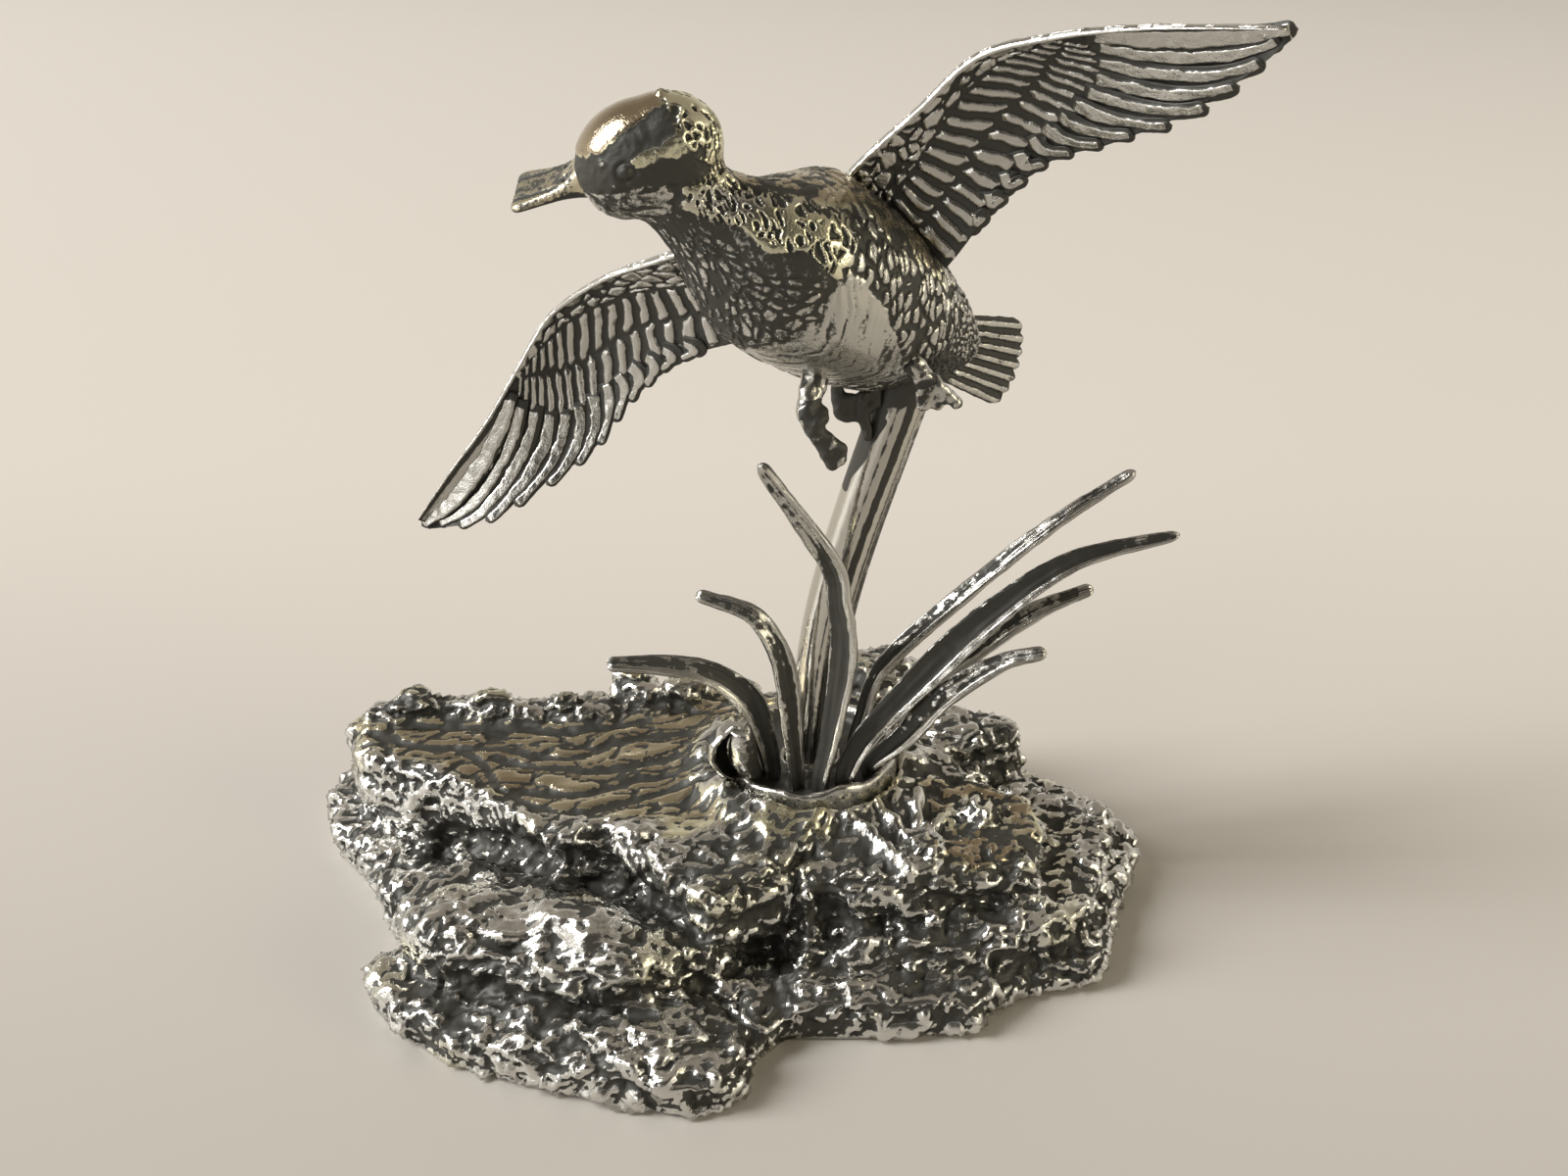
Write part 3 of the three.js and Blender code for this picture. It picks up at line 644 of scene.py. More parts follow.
# Proud places, rubbed bright: stations, reach and height
PROUD = [
    ([(-23.5, -14, 7.6), (-18.5, -14.4, 7.6), (-13.5, -15.4, 7.6), (-9, -17.6, 7.6)], 5.2, 1.8),
    ([(-15, -15.4, 9), (-11, -16.8, 8.6)], 3.2, 1.3),
    ([(-36.5, 3.6, 9), (-34, 2.6, 7.5), (-31.5, 1.6, 8.5)], 3.2, 0.6),
    ([(-35.5, 4, 11.8), (-27.4, 0.4, 12.2), (-19.7, -4.8, 12.2), (-17, -7.4, 12)], 1.1, 0.6),
    ([(-14, -8, 12.2), (-8.2, -10.4, 12.2), (-5.7, -12.8, 12)], 1.3, 0.6),
    ([(-11.8, -24, 5), (-9.8, -25, 4.7), (-7, -27.2, 3.6)], 1.1, 0.9),
    ([(-9.8, -23.2, 5), (-7.2, -24.4, 5), (-5, -26, 4.4)], 0.9, 0.6),
    ([(18, -13.8, 7.2), (23, -13.2, 7), (28, -11.6, 7)], 1.6, 0.6),
    ([(25, -16, 1.5), (30, -14.6, 1.5), (33, -12, 3)], 2.0, 0.4),
    ([(5, -17.6, 4.6), (11, -18.4, 4.6), (16, -17.6, 4.6)], 1.3, 0.6),
]
SLAB = [(-16, -15.2, 9.6), (-10.5, -16.8, 9.2)]  # the smoother, brightest part of the front dome
# Knobs along the plateau's back rim, left in shade
KNOBS = [(-35.5, 11, 12.4), (-30, 12.6, 12.6), (-22, 11.6, 12.6), (-13, 11.8, 12.6), (-6, 14.4, 12.6)]
# Crossed ridges like fallen leaves, right of the collar
CROSSED = [
    [(13.4, -4.6, 11.3), (15.8, -7.4, 11.4), (17.7, -10.3, 11.4)],
    [(17.4, -1.6, 11.2), (17, -5, 11.4), (16.6, -8.8, 11.4)],
    [(19.8, -4, 11.3), (17.8, -7, 11.4), (15.2, -11, 11.2)],
    [(10.5, -6.6, 11.3), (13.5, -9, 11.3), (15.6, -12, 11)],
]
# Yellowed patches in front of the collar
YELLOWED = [[(-4.6, -7.4, 12.4), (-2.2, -4.8, 12.6)], [(3.6, -7.6, 12.2), (7.6, -7.4, 12)]]
# Browned places, which stand neither proud nor low: stations, reach and height
BROWNED = [
    ([(-26, 5, 12.4), (-21, 0, 12.4)], 3.5, 0),
    ([(20, -8.5, 11.2), (24, -9.6, 11.2), (27.4, -8, 11.2)], 5.5, 0),
    ([(15, -3, 11.2), (21, -2, 11.2), (26, -3, 11.2)], 4.5, 0),
    ([(-2, 11, 12.4), (7, 14, 12.4), (16, 10, 11.4)], 6, 0),
    ([(-13, 5.5, 12.4), (-8, 7, 12.4)], 3.5, 0),
]
# Long cracks in the plateau's bark, seen from above
CRACKS = [
    [(-36, 7.4, 0), (-30, 5.6, 0), (-24, 5.2, 0), (-17, 3.4, 0), (-12, 6, 0), (-5, 8, 0)],
    [(-27, 5.4, 0), (-24, 2.4, 0), (-22, -1, 0), (-17.5, -4.6, 0)],
    [(-23, 3.4, 0), (-17, 1.6, 0), (-11, 1.8, 0), (-4, 4.4, 0)],
    [(-20, -1.4, 0), (-14, -2, 0), (-8, 0.6, 0), (-3, 1, 0)],
    [(-15, -5.6, 0), (-11, -3.8, 0), (-6.5, -1.8, 0), (-2.5, -1.2, 0)],
    [(-33, 9.6, 0), (-24, 9, 0), (-16, 8.4, 0), (-9, 10, 0)],
]


def from_path(points, stations):
    """Distance of each point from a smooth path."""
    path = even_curve(stations, 3 * len(stations))
    closest = np.full(len(points), FAR)
    for start, end in zip(path, path[1:]):
        step = end - start
        share = np.clip((points - start) @ step / (step @ step), 0, 1)
        closest = np.minimum(closest, ((points - start - share[:, None] * step) ** 2).sum(axis=1))
    return np.sqrt(closest)


def from_paths(points, paths):
    """Distance of each point from the nearest of several smooth paths."""
    return np.min([from_path(points, stations) for stations in paths], axis=0)


def crest(points, size, seed):
    """Sharp wandering crests, 1 on a crest and falling to -1 between them."""
    return 1 - 2.4 * np.abs(noise(points, size, seed))


def near_paths(points, marks, wander, softness, sunk=0):
    """How near each point is to the nearest of some marks, and how far these push it in or out."""
    most = np.zeros(len(points))
    push = np.zeros(len(points))
    for stations, reach, depth in marks:
        near = smooth(reach, softness * reach, from_path(points, stations) - sunk * depth + wander)
        most = np.maximum(most, near)
        push += depth * near
    return most, push


def free_rock(points, normals):
    """Where the rock may move, not on its underside or under the collar, and how far it is from the rod."""
    from_rod = np.hypot(points[:, 0] - ROD_FOOT[0], points[:, 1] - ROD_FOOT[1])
    beside_collar = smooth(COLLAR_RADIUS, COLLAR_RADIUS + 0.8, from_rod)
    return beside_collar * smooth(-0.6, -0.2, normals[:, 2]), from_rod


def carve_rock(rock):
    """The hollows, the proud ledges and the knobs, before the fine relief."""
    points = coordinates(rock)
    normals = point_normals(rock)
    free = free_rock(points, normals)[0]
    wander = 0.5 * rough(points, 2.4, 11, 3) + 0.4 * noise(points, 1.1, 18)
    push = near_paths(points, PROUD, 0.6 * wander, 0.3)[1]
    push -= near_paths(points, HOLLOWS, 0.3 + wander, 0.3)[1]
    knobs = smooth(1.9, 0.9, from_path(points, KNOBS) + 0.5 * wander)
    push += 0.9 * knobs * (1 + 0.8 * noise(points, 2.2, 19))
    points = points + normals * (push * free)[:, None]
    points[:, 2] = np.maximum(points[:, 2], 0)
    place_points(rock, points)


def cut_rock(rock, height):
    """Bark on the plateau, sharp crests elsewhere, a bank round the collar and a flat underside."""
    points = coordinates(rock)
    normals = point_normals(rock)
    x, y, z = points.T
    free, from_rod = free_rock(points, normals)
    upward = smooth(0.5, 0.85, normals[:, 2])
    warp = np.stack([rough(points, 2.4, seed, 3) for seed in (11, 12, 13)], axis=1)
    warped = points + 0.45 * warp
    level = 0.5 * facets(warped, (3.2, 2.2, 1.8), 7) + 0.3 * facets(warped, (1.3, 1, 0.8), 9)
    level += 0.34 * crest(warped, (2.4, 1.5, 1.2), 5) + 0.3 * crest(warped, (1.2, 0.8, 0.7), 8)
    level += 0.25 * noise(points, 5, 4) + 0.2 * noise(warped, 0.5, 17)
    level -= np.mean(level)

    wander = 0.45 * warp[:, 0] + 0.4 * noise(points, 1.1, 18)
    hollow = near_paths(points, HOLLOWS, wander, 0.4, 0.7)[0]
    proud = near_paths(points, PROUD, 0.6 * wander, 0.3, 0.7)[0]
    knobs = smooth(2.6, 1.4, from_path(points, KNOBS) + 0.5 * wander)
    crossed = smooth(0.75, 0.25, from_paths(points, CROSSED))
    patch = smooth(2.1, 1.2, from_paths(points, YELLOWED) + wander)

    wooden = upward * smooth(PLATEAU_EDGE + 2, PLATEAU_EDGE - 2, x)
    wooden = wooden * smooth(-8, -6, y + 0.12 * x) * smooth(9, 10, z)
    wooden *= (1 - proud) * (1 - knobs) * smooth(10.5, 12, from_rod + wander)
    swept = np.stack([x, y - 0.25 * np.maximum(x + 14, 0), z], axis=1) + 0.5 * warp
    crack = smooth(0.12, 0.03, inside_cells(swept[:, 0], swept[:, 1], (5.5, 2.2), 24))
    fine_crack = smooth(0.16, 0.04, np.abs(noise(swept, (2.6, 1.2, 2), 2)))
    flat = points * (1, 1, 0) + 0.35 * warp * (1, 1, 0)
    long_crack = smooth(0.75, 0.3, from_paths(flat, CRACKS))
    crack = np.maximum(long_crack, 0.8 * crack)
    bark = 0.35 * noise(swept, (3, 1.2, 1), 20) - 0.8 * crack - 0.35 * fine_crack

    slab = smooth(3.8, 2.4, from_path(points, SLAB) + wander)
    rough_rise = 0.9 * level * (1 - 0.5 * np.maximum(patch, slab))
    rise = height * blend(rough_rise, 0.6 * bark, wooden) + 0.9 * crossed
    bank = upward * smooth(8.1, 8.6, from_rod) * smooth(14, 8.5, from_rod + 1.2 * noise(points, 3, 14))
    points = points + normals * (rise * free)[:, None]
    points[:, 2] = np.maximum(points[:, 2] + 1.9 * bank, 0)
    place_points(rock, points)

    around_collar = smooth(14, 11, from_rod) * smooth(4, 0, y)
    bare = 0.37 + 1.6 * level + 0.2 * proud - 1.15 * hollow + 0.5 * smooth(1.4, 0.4, z)
    bare += 0.25 * slab - 0.12 * around_collar
    mottled = 0.56 + 0.3 * noise(warped, (2.2, 1, 1), 21) + 0.16 * noise(warped, 0.5, 23)
    bare = blend(bare, mottled - 0.9 * crack - 0.3 * fine_crack, wooden)
    bare = np.maximum(bare - 0.2 * knobs, 0.9 * crossed)
    bare = blend(bare, 0.66 + 0.5 * level - 0.5 * fine_crack, patch)
    front = smooth(8, -4, y) * smooth(16, 9, from_rod)
    yellow = np.maximum(patch, 0.8 * front * smooth(-0.1, 0.4, noise(points, 5, 15)))
    yellow = np.maximum(yellow, 0.5 * smooth(0.3, 0.6, noise(points, 6, 22)))
    brown = near_paths(points, BROWNED, wander, 0.5)[0] * smooth(-0.2, 0.2, noise(points, 2.4, 16)) * upward
    brown = np.maximum(brown, 0.85 * wooden)
    set_polish_and_painted_light(rock, bare + raised(rock, 5) / 0.25, np.maximum(0.5 * yellow, brown))


# Rod

ROD_DIAMETER = 4.5
ROD_START = 5.0  # height of its foot, inside the base
ROD_BEND = 12.0  # height at which it leaves the upright
ROD_BOW = (9.1, 1.8, 30.2)
ROD_TOP = (-9.2, -0.4, -3.6)  # in the duck's frame
# Painted shade down the left of its upper end: height, and how far across it reaches, -1 being the rod's
# left edge
ROD_PAINTED_SHADE = ((41.8, 42.3, 44, 46, 47, 49), (-0.95, -0.82, -0.72, -0.55, -0.47, -0.4))


class FIGURINE_OT_rod(bpy.types.Operator):
    """Runs the polished rod from the base up to the duck's belly"""

    bl_idname = "figurine.rod"
    bl_label = "Rod"

    def execute(self, context):
        top = np.array(DUCK @ (Vector(ROD_TOP) * MM)) / MM
        stations = [(*ROD_FOOT, ROD_START), (*ROD_FOOT, ROD_BEND), ROD_BOW, top]
        path = even_curve(stations, 90)
        side, out = side_and_face(path, (0, -1, 0))
        turn = np.linspace(0, 2 * math.pi, 72, endpoint=False)
        ring = np.cos(turn)[:, None, None] * side + np.sin(turn)[:, None, None] * out
        rings = path[:, None] + ROD_DIAMETER / 2 * ring.transpose(1, 0, 2)
        rod = piece_from("polished_rod", *closed_rings(rings))
        across = with_ends(np.tile(-np.cos(turn), len(path)))
        front = with_ends(np.tile(np.sin(turn), len(path)))
        height = coordinates(rod)[:, 2]
        # Painted reflections: a broad dark streak, a thin dark line and a dark right edge, at fixed places
        # round the rod
        waver = 0.05 * noise(coordinates(rod), (3, 3, 9), 22)
        painted_reflection_streak = peak(across - 0.28 + waver, 0.17, 4)
        line = 0.7 * peak(across + 0.16 + waver, 0.08)
        edge = 0.62 * smooth(0.68, 0.84, across + waver)
        ragged = noise(coordinates(rod), 1.1, 23)
        # Painted shade down the left of the upper end, and a painted shadow where the rod goes up under the
        # belly
        reach = np.interp(height, *ROD_PAINTED_SHADE)
        painted_shade = smooth(0.06, -0.06, across + 0.12 * ragged - reach) * (height > ROD_PAINTED_SHADE[0][0])
        painted_shade = np.maximum(painted_shade, smooth(49.7, 50.2, height + 0.4 * ragged))
        # Painted reflections and painted shade, drawn in oxide and kept to the rod's side towards the camera
        dark = np.maximum.reduce([painted_reflection_streak, line, edge, 0.9 * painted_shade]) * (front > -0.2)
        set_polish_and_painted_light(rod, 0.95 - 0.9 * dark)
        tone = context.scene.figurine_finish.rod
        shine = antiqued_pewter("Polished pewter rod", tone, grain=1.2, metal_roughness=0.1)
        hand_over(rod, shine, "bright_rod", "support_rod")
        return {"FINISHED"}


# Collar and leaves

# Heights of the collar's underside, of the floor of its dish and of its rim
COLLAR_SEAT = 11.7
COLLAR_FLOOR = 13.7
COLLAR_RIM = 14.9
RIM_DIP = 195  # degrees round from the right, where the rim is lowest


class FIGURINE_OT_collar(bpy.types.Operator):
    """Spins the dish at the foot of the reeds and waves its rim like the edge of a root leaf"""

    bl_idname = "figurine.collar"
    bl_label = "Collar"

    def execute(self, context):
        profile = [
            (2.5, COLLAR_SEAT), (6.5, COLLAR_SEAT), (COLLAR_RADIUS, COLLAR_SEAT),
            (COLLAR_RADIUS, COLLAR_FLOOR - 0.3), (COLLAR_RADIUS - 0.1, COLLAR_RIM - 0.3),
            (COLLAR_RADIUS - 0.45, COLLAR_RIM), (COLLAR_RADIUS - 0.9, COLLAR_RIM - 0.3),
            (COLLAR_RADIUS - 1.6, COLLAR_FLOOR), (5, COLLAR_FLOOR - 0.15), (2.5, COLLAR_FLOOR),
        ]
        flat = np.array([(radius, 0, height) for radius, height in profile])
        outline = even_curve(flat, 110)
        turn = np.linspace(0, 2 * math.pi, 300, endpoint=False)
        radius, height = outline[:, 0], outline[:, 2]
        rings = np.stack(
            [
                np.outer(np.cos(turn), radius) + ROD_FOOT[0],
                np.outer(np.sin(turn), radius) + ROD_FOOT[1],
                np.tile(height, (len(turn), 1)),
            ],
            axis=2,
        )
        rows, count = rings.shape[:2]
        i, j = (grid.ravel() for grid in np.meshgrid(range(rows), range(count), indexing="ij"))
        after, beside = (i + 1) % rows * count, (j + 1) % count
        faces = np.stack([i * count + j, i * count + beside, after + beside, after + j], axis=1).tolist()
        collar = piece_from("root_collar", rings.reshape(-1, 3), faces)
        points = coordinates(collar)
        rim = smooth(COLLAR_FLOOR - 0.4, COLLAR_RIM, points[:, 2])
        around = np.arctan2(points[:, 1] - ROD_FOOT[1], points[:, 0] - ROD_FOOT[0])
        wave = 0.22 * np.sin(5 * around + 1) + 0.15 * np.sin(9 * around)
        wave -= 0.9 * peak(np.mod(around, 2 * math.pi) - math.radians(RIM_DIP), 0.65)
        points[:, 2] += rim * wave
        points = push_out(collar, points, 0.12 * rough(points, 1.6, 21))
        shade = smooth(COLLAR_RADIUS - 1.5, COLLAR_RADIUS - 0.7, np.hypot(*(points[:, :2] - ROD_FOOT).T))
        set_polish_and_painted_light(collar, 0.02 + 0.48 * shade + raised(collar, 12) / 0.35)
        hand_over(collar, body_pewter(), "cast_pewter", "reed_collar")
        return {"FINISHED"}


# Each leaf: its midline from the foot, its widths at the foot, the widest place and the tip, the way that
# its flat faces, the depth of the channel along it, how dark the painted shade on its face is, and up to
# which share of its length
LEAVES = {
    "reed_far_left": (
        [(3.6, -1.2, 14.9), (2.9, -1.4, 18.8), (1.4, -1.6, 22.4),
         (-1.9, -2, 25.2), (-5.9, -2.6, 26.4), (-10.5, -3.5, 27.1)],
        (1.5, 2.7, 1.1), (0.1, -0.6, 0.8), 0.45, (0.34, 0.9),
    ),
    "reed_mid_left": (
        [(5.9, -2.8, 14.9), (5.6, -2.5, 19.4), (5.1, -2.2, 24),
         (4.1, -1.8, 27.9), (1.8, -1.4, 31), (-2.7, -1, 32.6)],
        (1.4, 2.5, 0.9), (0.5, -0.7, 0.5), 0.3, (0.4, 0.6),
    ),
    "reed_tall_centre": (
        [(8.2, -3.4, 14.9), (9.2, -3.2, 20.3), (10.1, -3, 28),
         (9.6, -3.2, 33.1), (8.6, -3.6, 37.3), (2.9, -5, 46.5)],
        (1.5, 2.6, 1.1), (-0.5, -0.8, 0.3), 0.45, (0.6, 0.62),
    ),
    "reed_tall_right": (
        [(11.2, 0.6, 14.9), (12.1, 1.9, 18), (14.3, 3.4, 23),
         (23, 6, 30.4), (29.8, 7, 36), (36.3, 8, 40.3)],
        (1.2, 1.9, 1), (-0.5, -0.5, 0.7), 0.25, (0.2, 0.4),
    ),
    "reed_broad_right": (
        [(10.5, -2.6, 14.9), (11.9, -2, 17.8), (14.7, -1, 21),
         (22.3, 0.6, 28.8), (30, 1.3, 34.6), (38.9, 1, 37.4)],
        (1.8, 2.9, 0.9), (-0.2, -0.85, 0.5), 0.6, (0.85, 0.88),
    ),
    "reed_behind_right": (
        [(12.6, 3.4, 14.9), (15.5, 4, 17.4), (19, 4.6, 20.6),
         (23.4, 5.2, 24), (28.4, 6, 27.2), (33.5, 7, 28.9)],
        (1.5, 2.5, 1.1), (-0.2, -0.7, 0.7), 0.35, (0.25, 0.6),
    ),
    "reed_low_right": (
        [(12.9, -1, 14.9), (15.7, -0.9, 17.6), (19.1, -0.6, 21.8), (24.2, -0.5, 25.4), (28, -1, 26.8)],
        (1.5, 2.6, 1), (-0.2, -0.7, 0.7), 0.35, (0.35, 0.4),
    ),
}
LEAF_THICKNESS = 0.95
LEAF_BURIAL = 1.6  # of a leaf's foot below the start of its midline
LEAF_STATIONS = 220
LIT_WAY = (0.4, -0.3, -0.86)  # the edge of a leaf that lies this way gets a painted highlight


def leaf_piece(name, midline, widths, face, channel, darkness):
    """One reed blade: a thick strap with a channel along its face and fine veins."""
    foot = np.array(midline[0], float)
    path = even_curve([foot - (0, 0, LEAF_BURIAL), *midline], LEAF_STATIONS)
    along = np.linspace(0, 1, len(path))
    at_foot, widest, at_tip = widths
    half = 0.5 * np.interp(along, (0, 0.4, 0.75, 1), (at_foot, widest, 0.5 * (widest + at_tip), at_tip))
    half *= rounded((along - 0.975) / 0.025, 0.02)
    thick = 0.5 * LEAF_THICKNESS * rounded((along - 0.98) / 0.02, 0.05)
    side, out = side_and_face(path, face)
    turn = np.linspace(0, 2 * math.pi, 48, endpoint=False)
    across = squarer(np.cos(turn), 0.8)
    depth = squarer(np.sin(turn), 0.8)
    dish = channel * (across**2 - 0.4)
    rings = (
        path[:, None]
        + side[:, None] * (half[:, None] * across)[..., None]
        + out[:, None] * (thick[:, None] * depth + (half[:, None] / half.max()) * dish)[..., None]
    )
    blade = piece_from(name, *closed_rings(rings))
    wide = with_ends(np.tile(across, len(path)))
    front = with_ends(np.tile(depth, len(path)))
    run = with_ends(np.repeat(along, len(turn)), 0, 1)
    span = np.linalg.norm(np.diff(path, axis=0), axis=1).sum()
    skin = np.stack([wide * 3 + front * 5, run * span, 0 * run], axis=1)
    veins = noise(skin, (0.45, 7, 1), 31) + 0.5 * noise(skin, (0.25, 3, 1), 32)
    points = coordinates(blade)
    vein = bpy.context.scene.figurine_relief.reed / MM
    points = push_out(blade, points, vein * veins + 0.05 * noise(points, 0.9, 33))
    # Painted highlight: the edge that lies towards LIT_WAY is brightest, the other edge a little bright
    lit_side = np.sign(side[LEAF_STATIONS // 2] @ LIT_WAY)
    edge = smooth(0.32, 0.62, wide * lit_side) + 0.5 * smooth(0.7, 0.92, -wide * lit_side)
    dark, until = darkness
    # Painted shade on the blade's face, away from the lit edge, up to a share of its length, and more of it
    # near the foot
    painted_face_shade = dark * (1 - edge) * smooth(-0.1, 0.4, front) * smooth(until + 0.15, until - 0.15, run)
    painted_face_shade = painted_face_shade + 0.4 * (1 - edge) * smooth(0.3, 0.12, run)
    flecks = 0.22 * noise(points, 2.2, 34) + 0.32 * noise(points, (0.6, 0.45, 0.6), 35)
    set_polish_and_painted_light(blade, 0.5 + 0.38 * edge - painted_face_shade + raised(blade, 10) / 0.35 + flecks)
    return blade


class FIGURINE_OT_reeds(bpy.types.Operator):
    """Grows the reed blades out of the collar"""

    bl_idname = "figurine.reeds"
    bl_label = "Reeds"

    def execute(self, context):
        for node, shape in LEAVES.items():
            hand_over(leaf_piece(node.replace("reed", "blade"), *shape), body_pewter(), "cast_pewter", node)
        return {"FINISHED"}


CURL_LINE = [(1.8, -0.9, 13.2), (0.8, -2, 15), (0.2, -2.7, 16.8), (0.1, -3.1, 18.6), (0.4, -3.3, 20)]
CURL_HALF_WALL = 0.24


class FIGURINE_OT_curled_leaf(bpy.types.Operator):
    """Rolls the short leaf at the front of the collar into a bud, open to the front"""

    bl_idname = "figurine.curled_leaf"
    bl_label = "Curled leaf"

    def execute(self, context):
        steps, count = 110, 110
        up = np.linspace(0, 1, steps)[:, None]
        across = np.linspace(0, 1, count)[None]
        middle = curve(CURL_LINE, up[:, 0])
        size = np.interp(up, (0, 0.25, 0.6, 0.85, 1), (1, 1.7, 2.1, 1.8, 1.1))
        angle = np.radians(218 - 360 * across)
        radius = size * blend(1, 0.14, smooth(0.66, 0.95, across))
        sheets = []
        for offset in (CURL_HALF_WALL, -CURL_HALF_WALL):
            x = middle[:, 0:1] + (radius + offset) * np.cos(angle)
            y = middle[:, 1:2] + 0.9 * (radius + offset) * np.sin(angle)
            z = middle[:, 2:3] + 0.25 * radius * np.sin(angle)
            sheets.append(np.stack([x, y, z], axis=2))
        leaf = piece_from("cup_leaf", *closed_rings(both_faces(*sheets)))
        points = coordinates(leaf)
        points = push_out(leaf, points, 0.06 * rough(points, 0.8, 41))
        edge = np.maximum(smooth(0.06, 0.03, across), smooth(0.93, 0.97, up))
        # Painted highlight: a bright strip on the outer face of the inner curl; the inner face stays dark
        # but for its edges
        painted_curl_highlight = smooth(0.7, 0.78, across)
        mark = with_ends(both_faces(np.maximum(edge, painted_curl_highlight), np.maximum(edge, 0.1)), 0, 1)
        set_polish_and_painted_light(leaf, 0.15 + 0.85 * mark + 0.35 * noise(points, 1.3, 42))
        turn_outwards(leaf)
        hand_over(leaf, body_pewter(), "cast_pewter", "curled_leaf")
        return {"FINISHED"}


# Duck's body

# From the rump to the neck: forward, up, and shares of the half width and half height
BODY_SECTIONS = [
    (-16.5, -1, 0.25, 0.14), (-14, -1, 0.45, 0.32), (-10.5, -0.9, 0.67, 0.58), (-6, -0.6, 0.87, 0.83),
    (-1, -0.1, 0.98, 0.99), (4, 0.5, 1, 1.06), (8, -0.2, 0.9, 0.83), (11, 0.1, 0.68, 0.58),
    (13.3, 1.2, 0.5, 0.45), (15.2, 2.5, 0.45, 0.43), (16.8, 3.6, 0.47, 0.45),
]


def trunk():
    """Rump, belly, breast and neck: a disc extruded and resized from section to section."""
    first = BODY_SECTIONS[0]
    select_nothing()
    bpy.ops.mesh.primitive_circle_add(
        vertices=32,
        radius=MM,
        fill_type="NGON",
        location=(first[0] * MM, 0, first[1] * MM),
        rotation=(0, math.pi / 2, 0),
    )
    body = bpy.context.object
    bpy.ops.object.transform_apply(location=True, rotation=True, scale=True)
    bpy.ops.object.mode_set(mode="EDIT")
    bpy.ops.mesh.select_all(action="SELECT")
    before = (first[0], first[1], 1 / BODY_HALF_WIDTH, 1 / BODY_HALF_HEIGHT)
    for section in (first, *BODY_SECTIONS[1:]):
        if section is not first:
            step = [(now - was) * MM for now, was in zip(section[:2], before[:2])]
            bpy.ops.mesh.extrude_region_move(TRANSFORM_OT_translate={"value": (step[0], 0, step[1])})
        grow = [now / was for now, was in zip(section[2:], before[2:])]
        centre = (section[0] * MM, 0, section[1] * MM)
        bpy.ops.transform.resize(value=(1, *grow), center_override=centre)
        before = section
    bpy.ops.mesh.select_all(action="SELECT")
    face_outwards()
    bpy.ops.object.mode_set(mode="OBJECT")
    return body


def inside_cells(along, across, sizes, seed):
    """How far each point lies inside its irregular cell: 0 on the border and about 0.5 in the middle."""
    flat = np.stack([along / sizes[0], across / sizes[1], 0 * along + 0.5], axis=1)
    nearest, second = crumbs(flat, seed)
    return second - nearest


# Balls of the head in its own frame, place and size: the skull, the jaw and the nape
HEAD_PARTS = [
    ((0, 0, -0.2), (9.8, 7.8, 8.0)),
    ((1.2, 0, -1.2), (7, 6.4, 5.6)),
    ((-1.6, 0, 0.1), (8.2, 7.0, 7.4)),
]

# Markings on the head's left, in its own frame: the eye, the pale spot before it, the nub on the crown, the
# pale stripe behind the eye and its upper branch, the crown's edge (forward and out) and the top of the
# cheek (forward and up)
EYE = (0.85, 3.77, 0.74)
LORE = (2.33, 3.09, 1.48)
NUB = (-2.7, -0.1, 3.6)
STRIPE = [(0.1, 3.75, 1.2), (-0.8, 3.6, 1.25), (-1.7, 3.45, 1.25), (-2.9, 2.9, 1.2), (-4, 1.95, 1.2)]
STRIPE_BRANCH = [(-2.9, 2.9, 1.4), (-3.6, 2, 2), (-3.9, 1.2, 2.4)]
CROWN_EDGE = ((-3.4, -1.4, 0, 1, 2.2, 3), (0.8, 1.8, 2.4, 2.65, 2.7, 2.2))
CHEEK_TOP = ((-4.4, -2.2, 0.1, 2.4), (-2.3, -1.15, -0.25, -0.4))


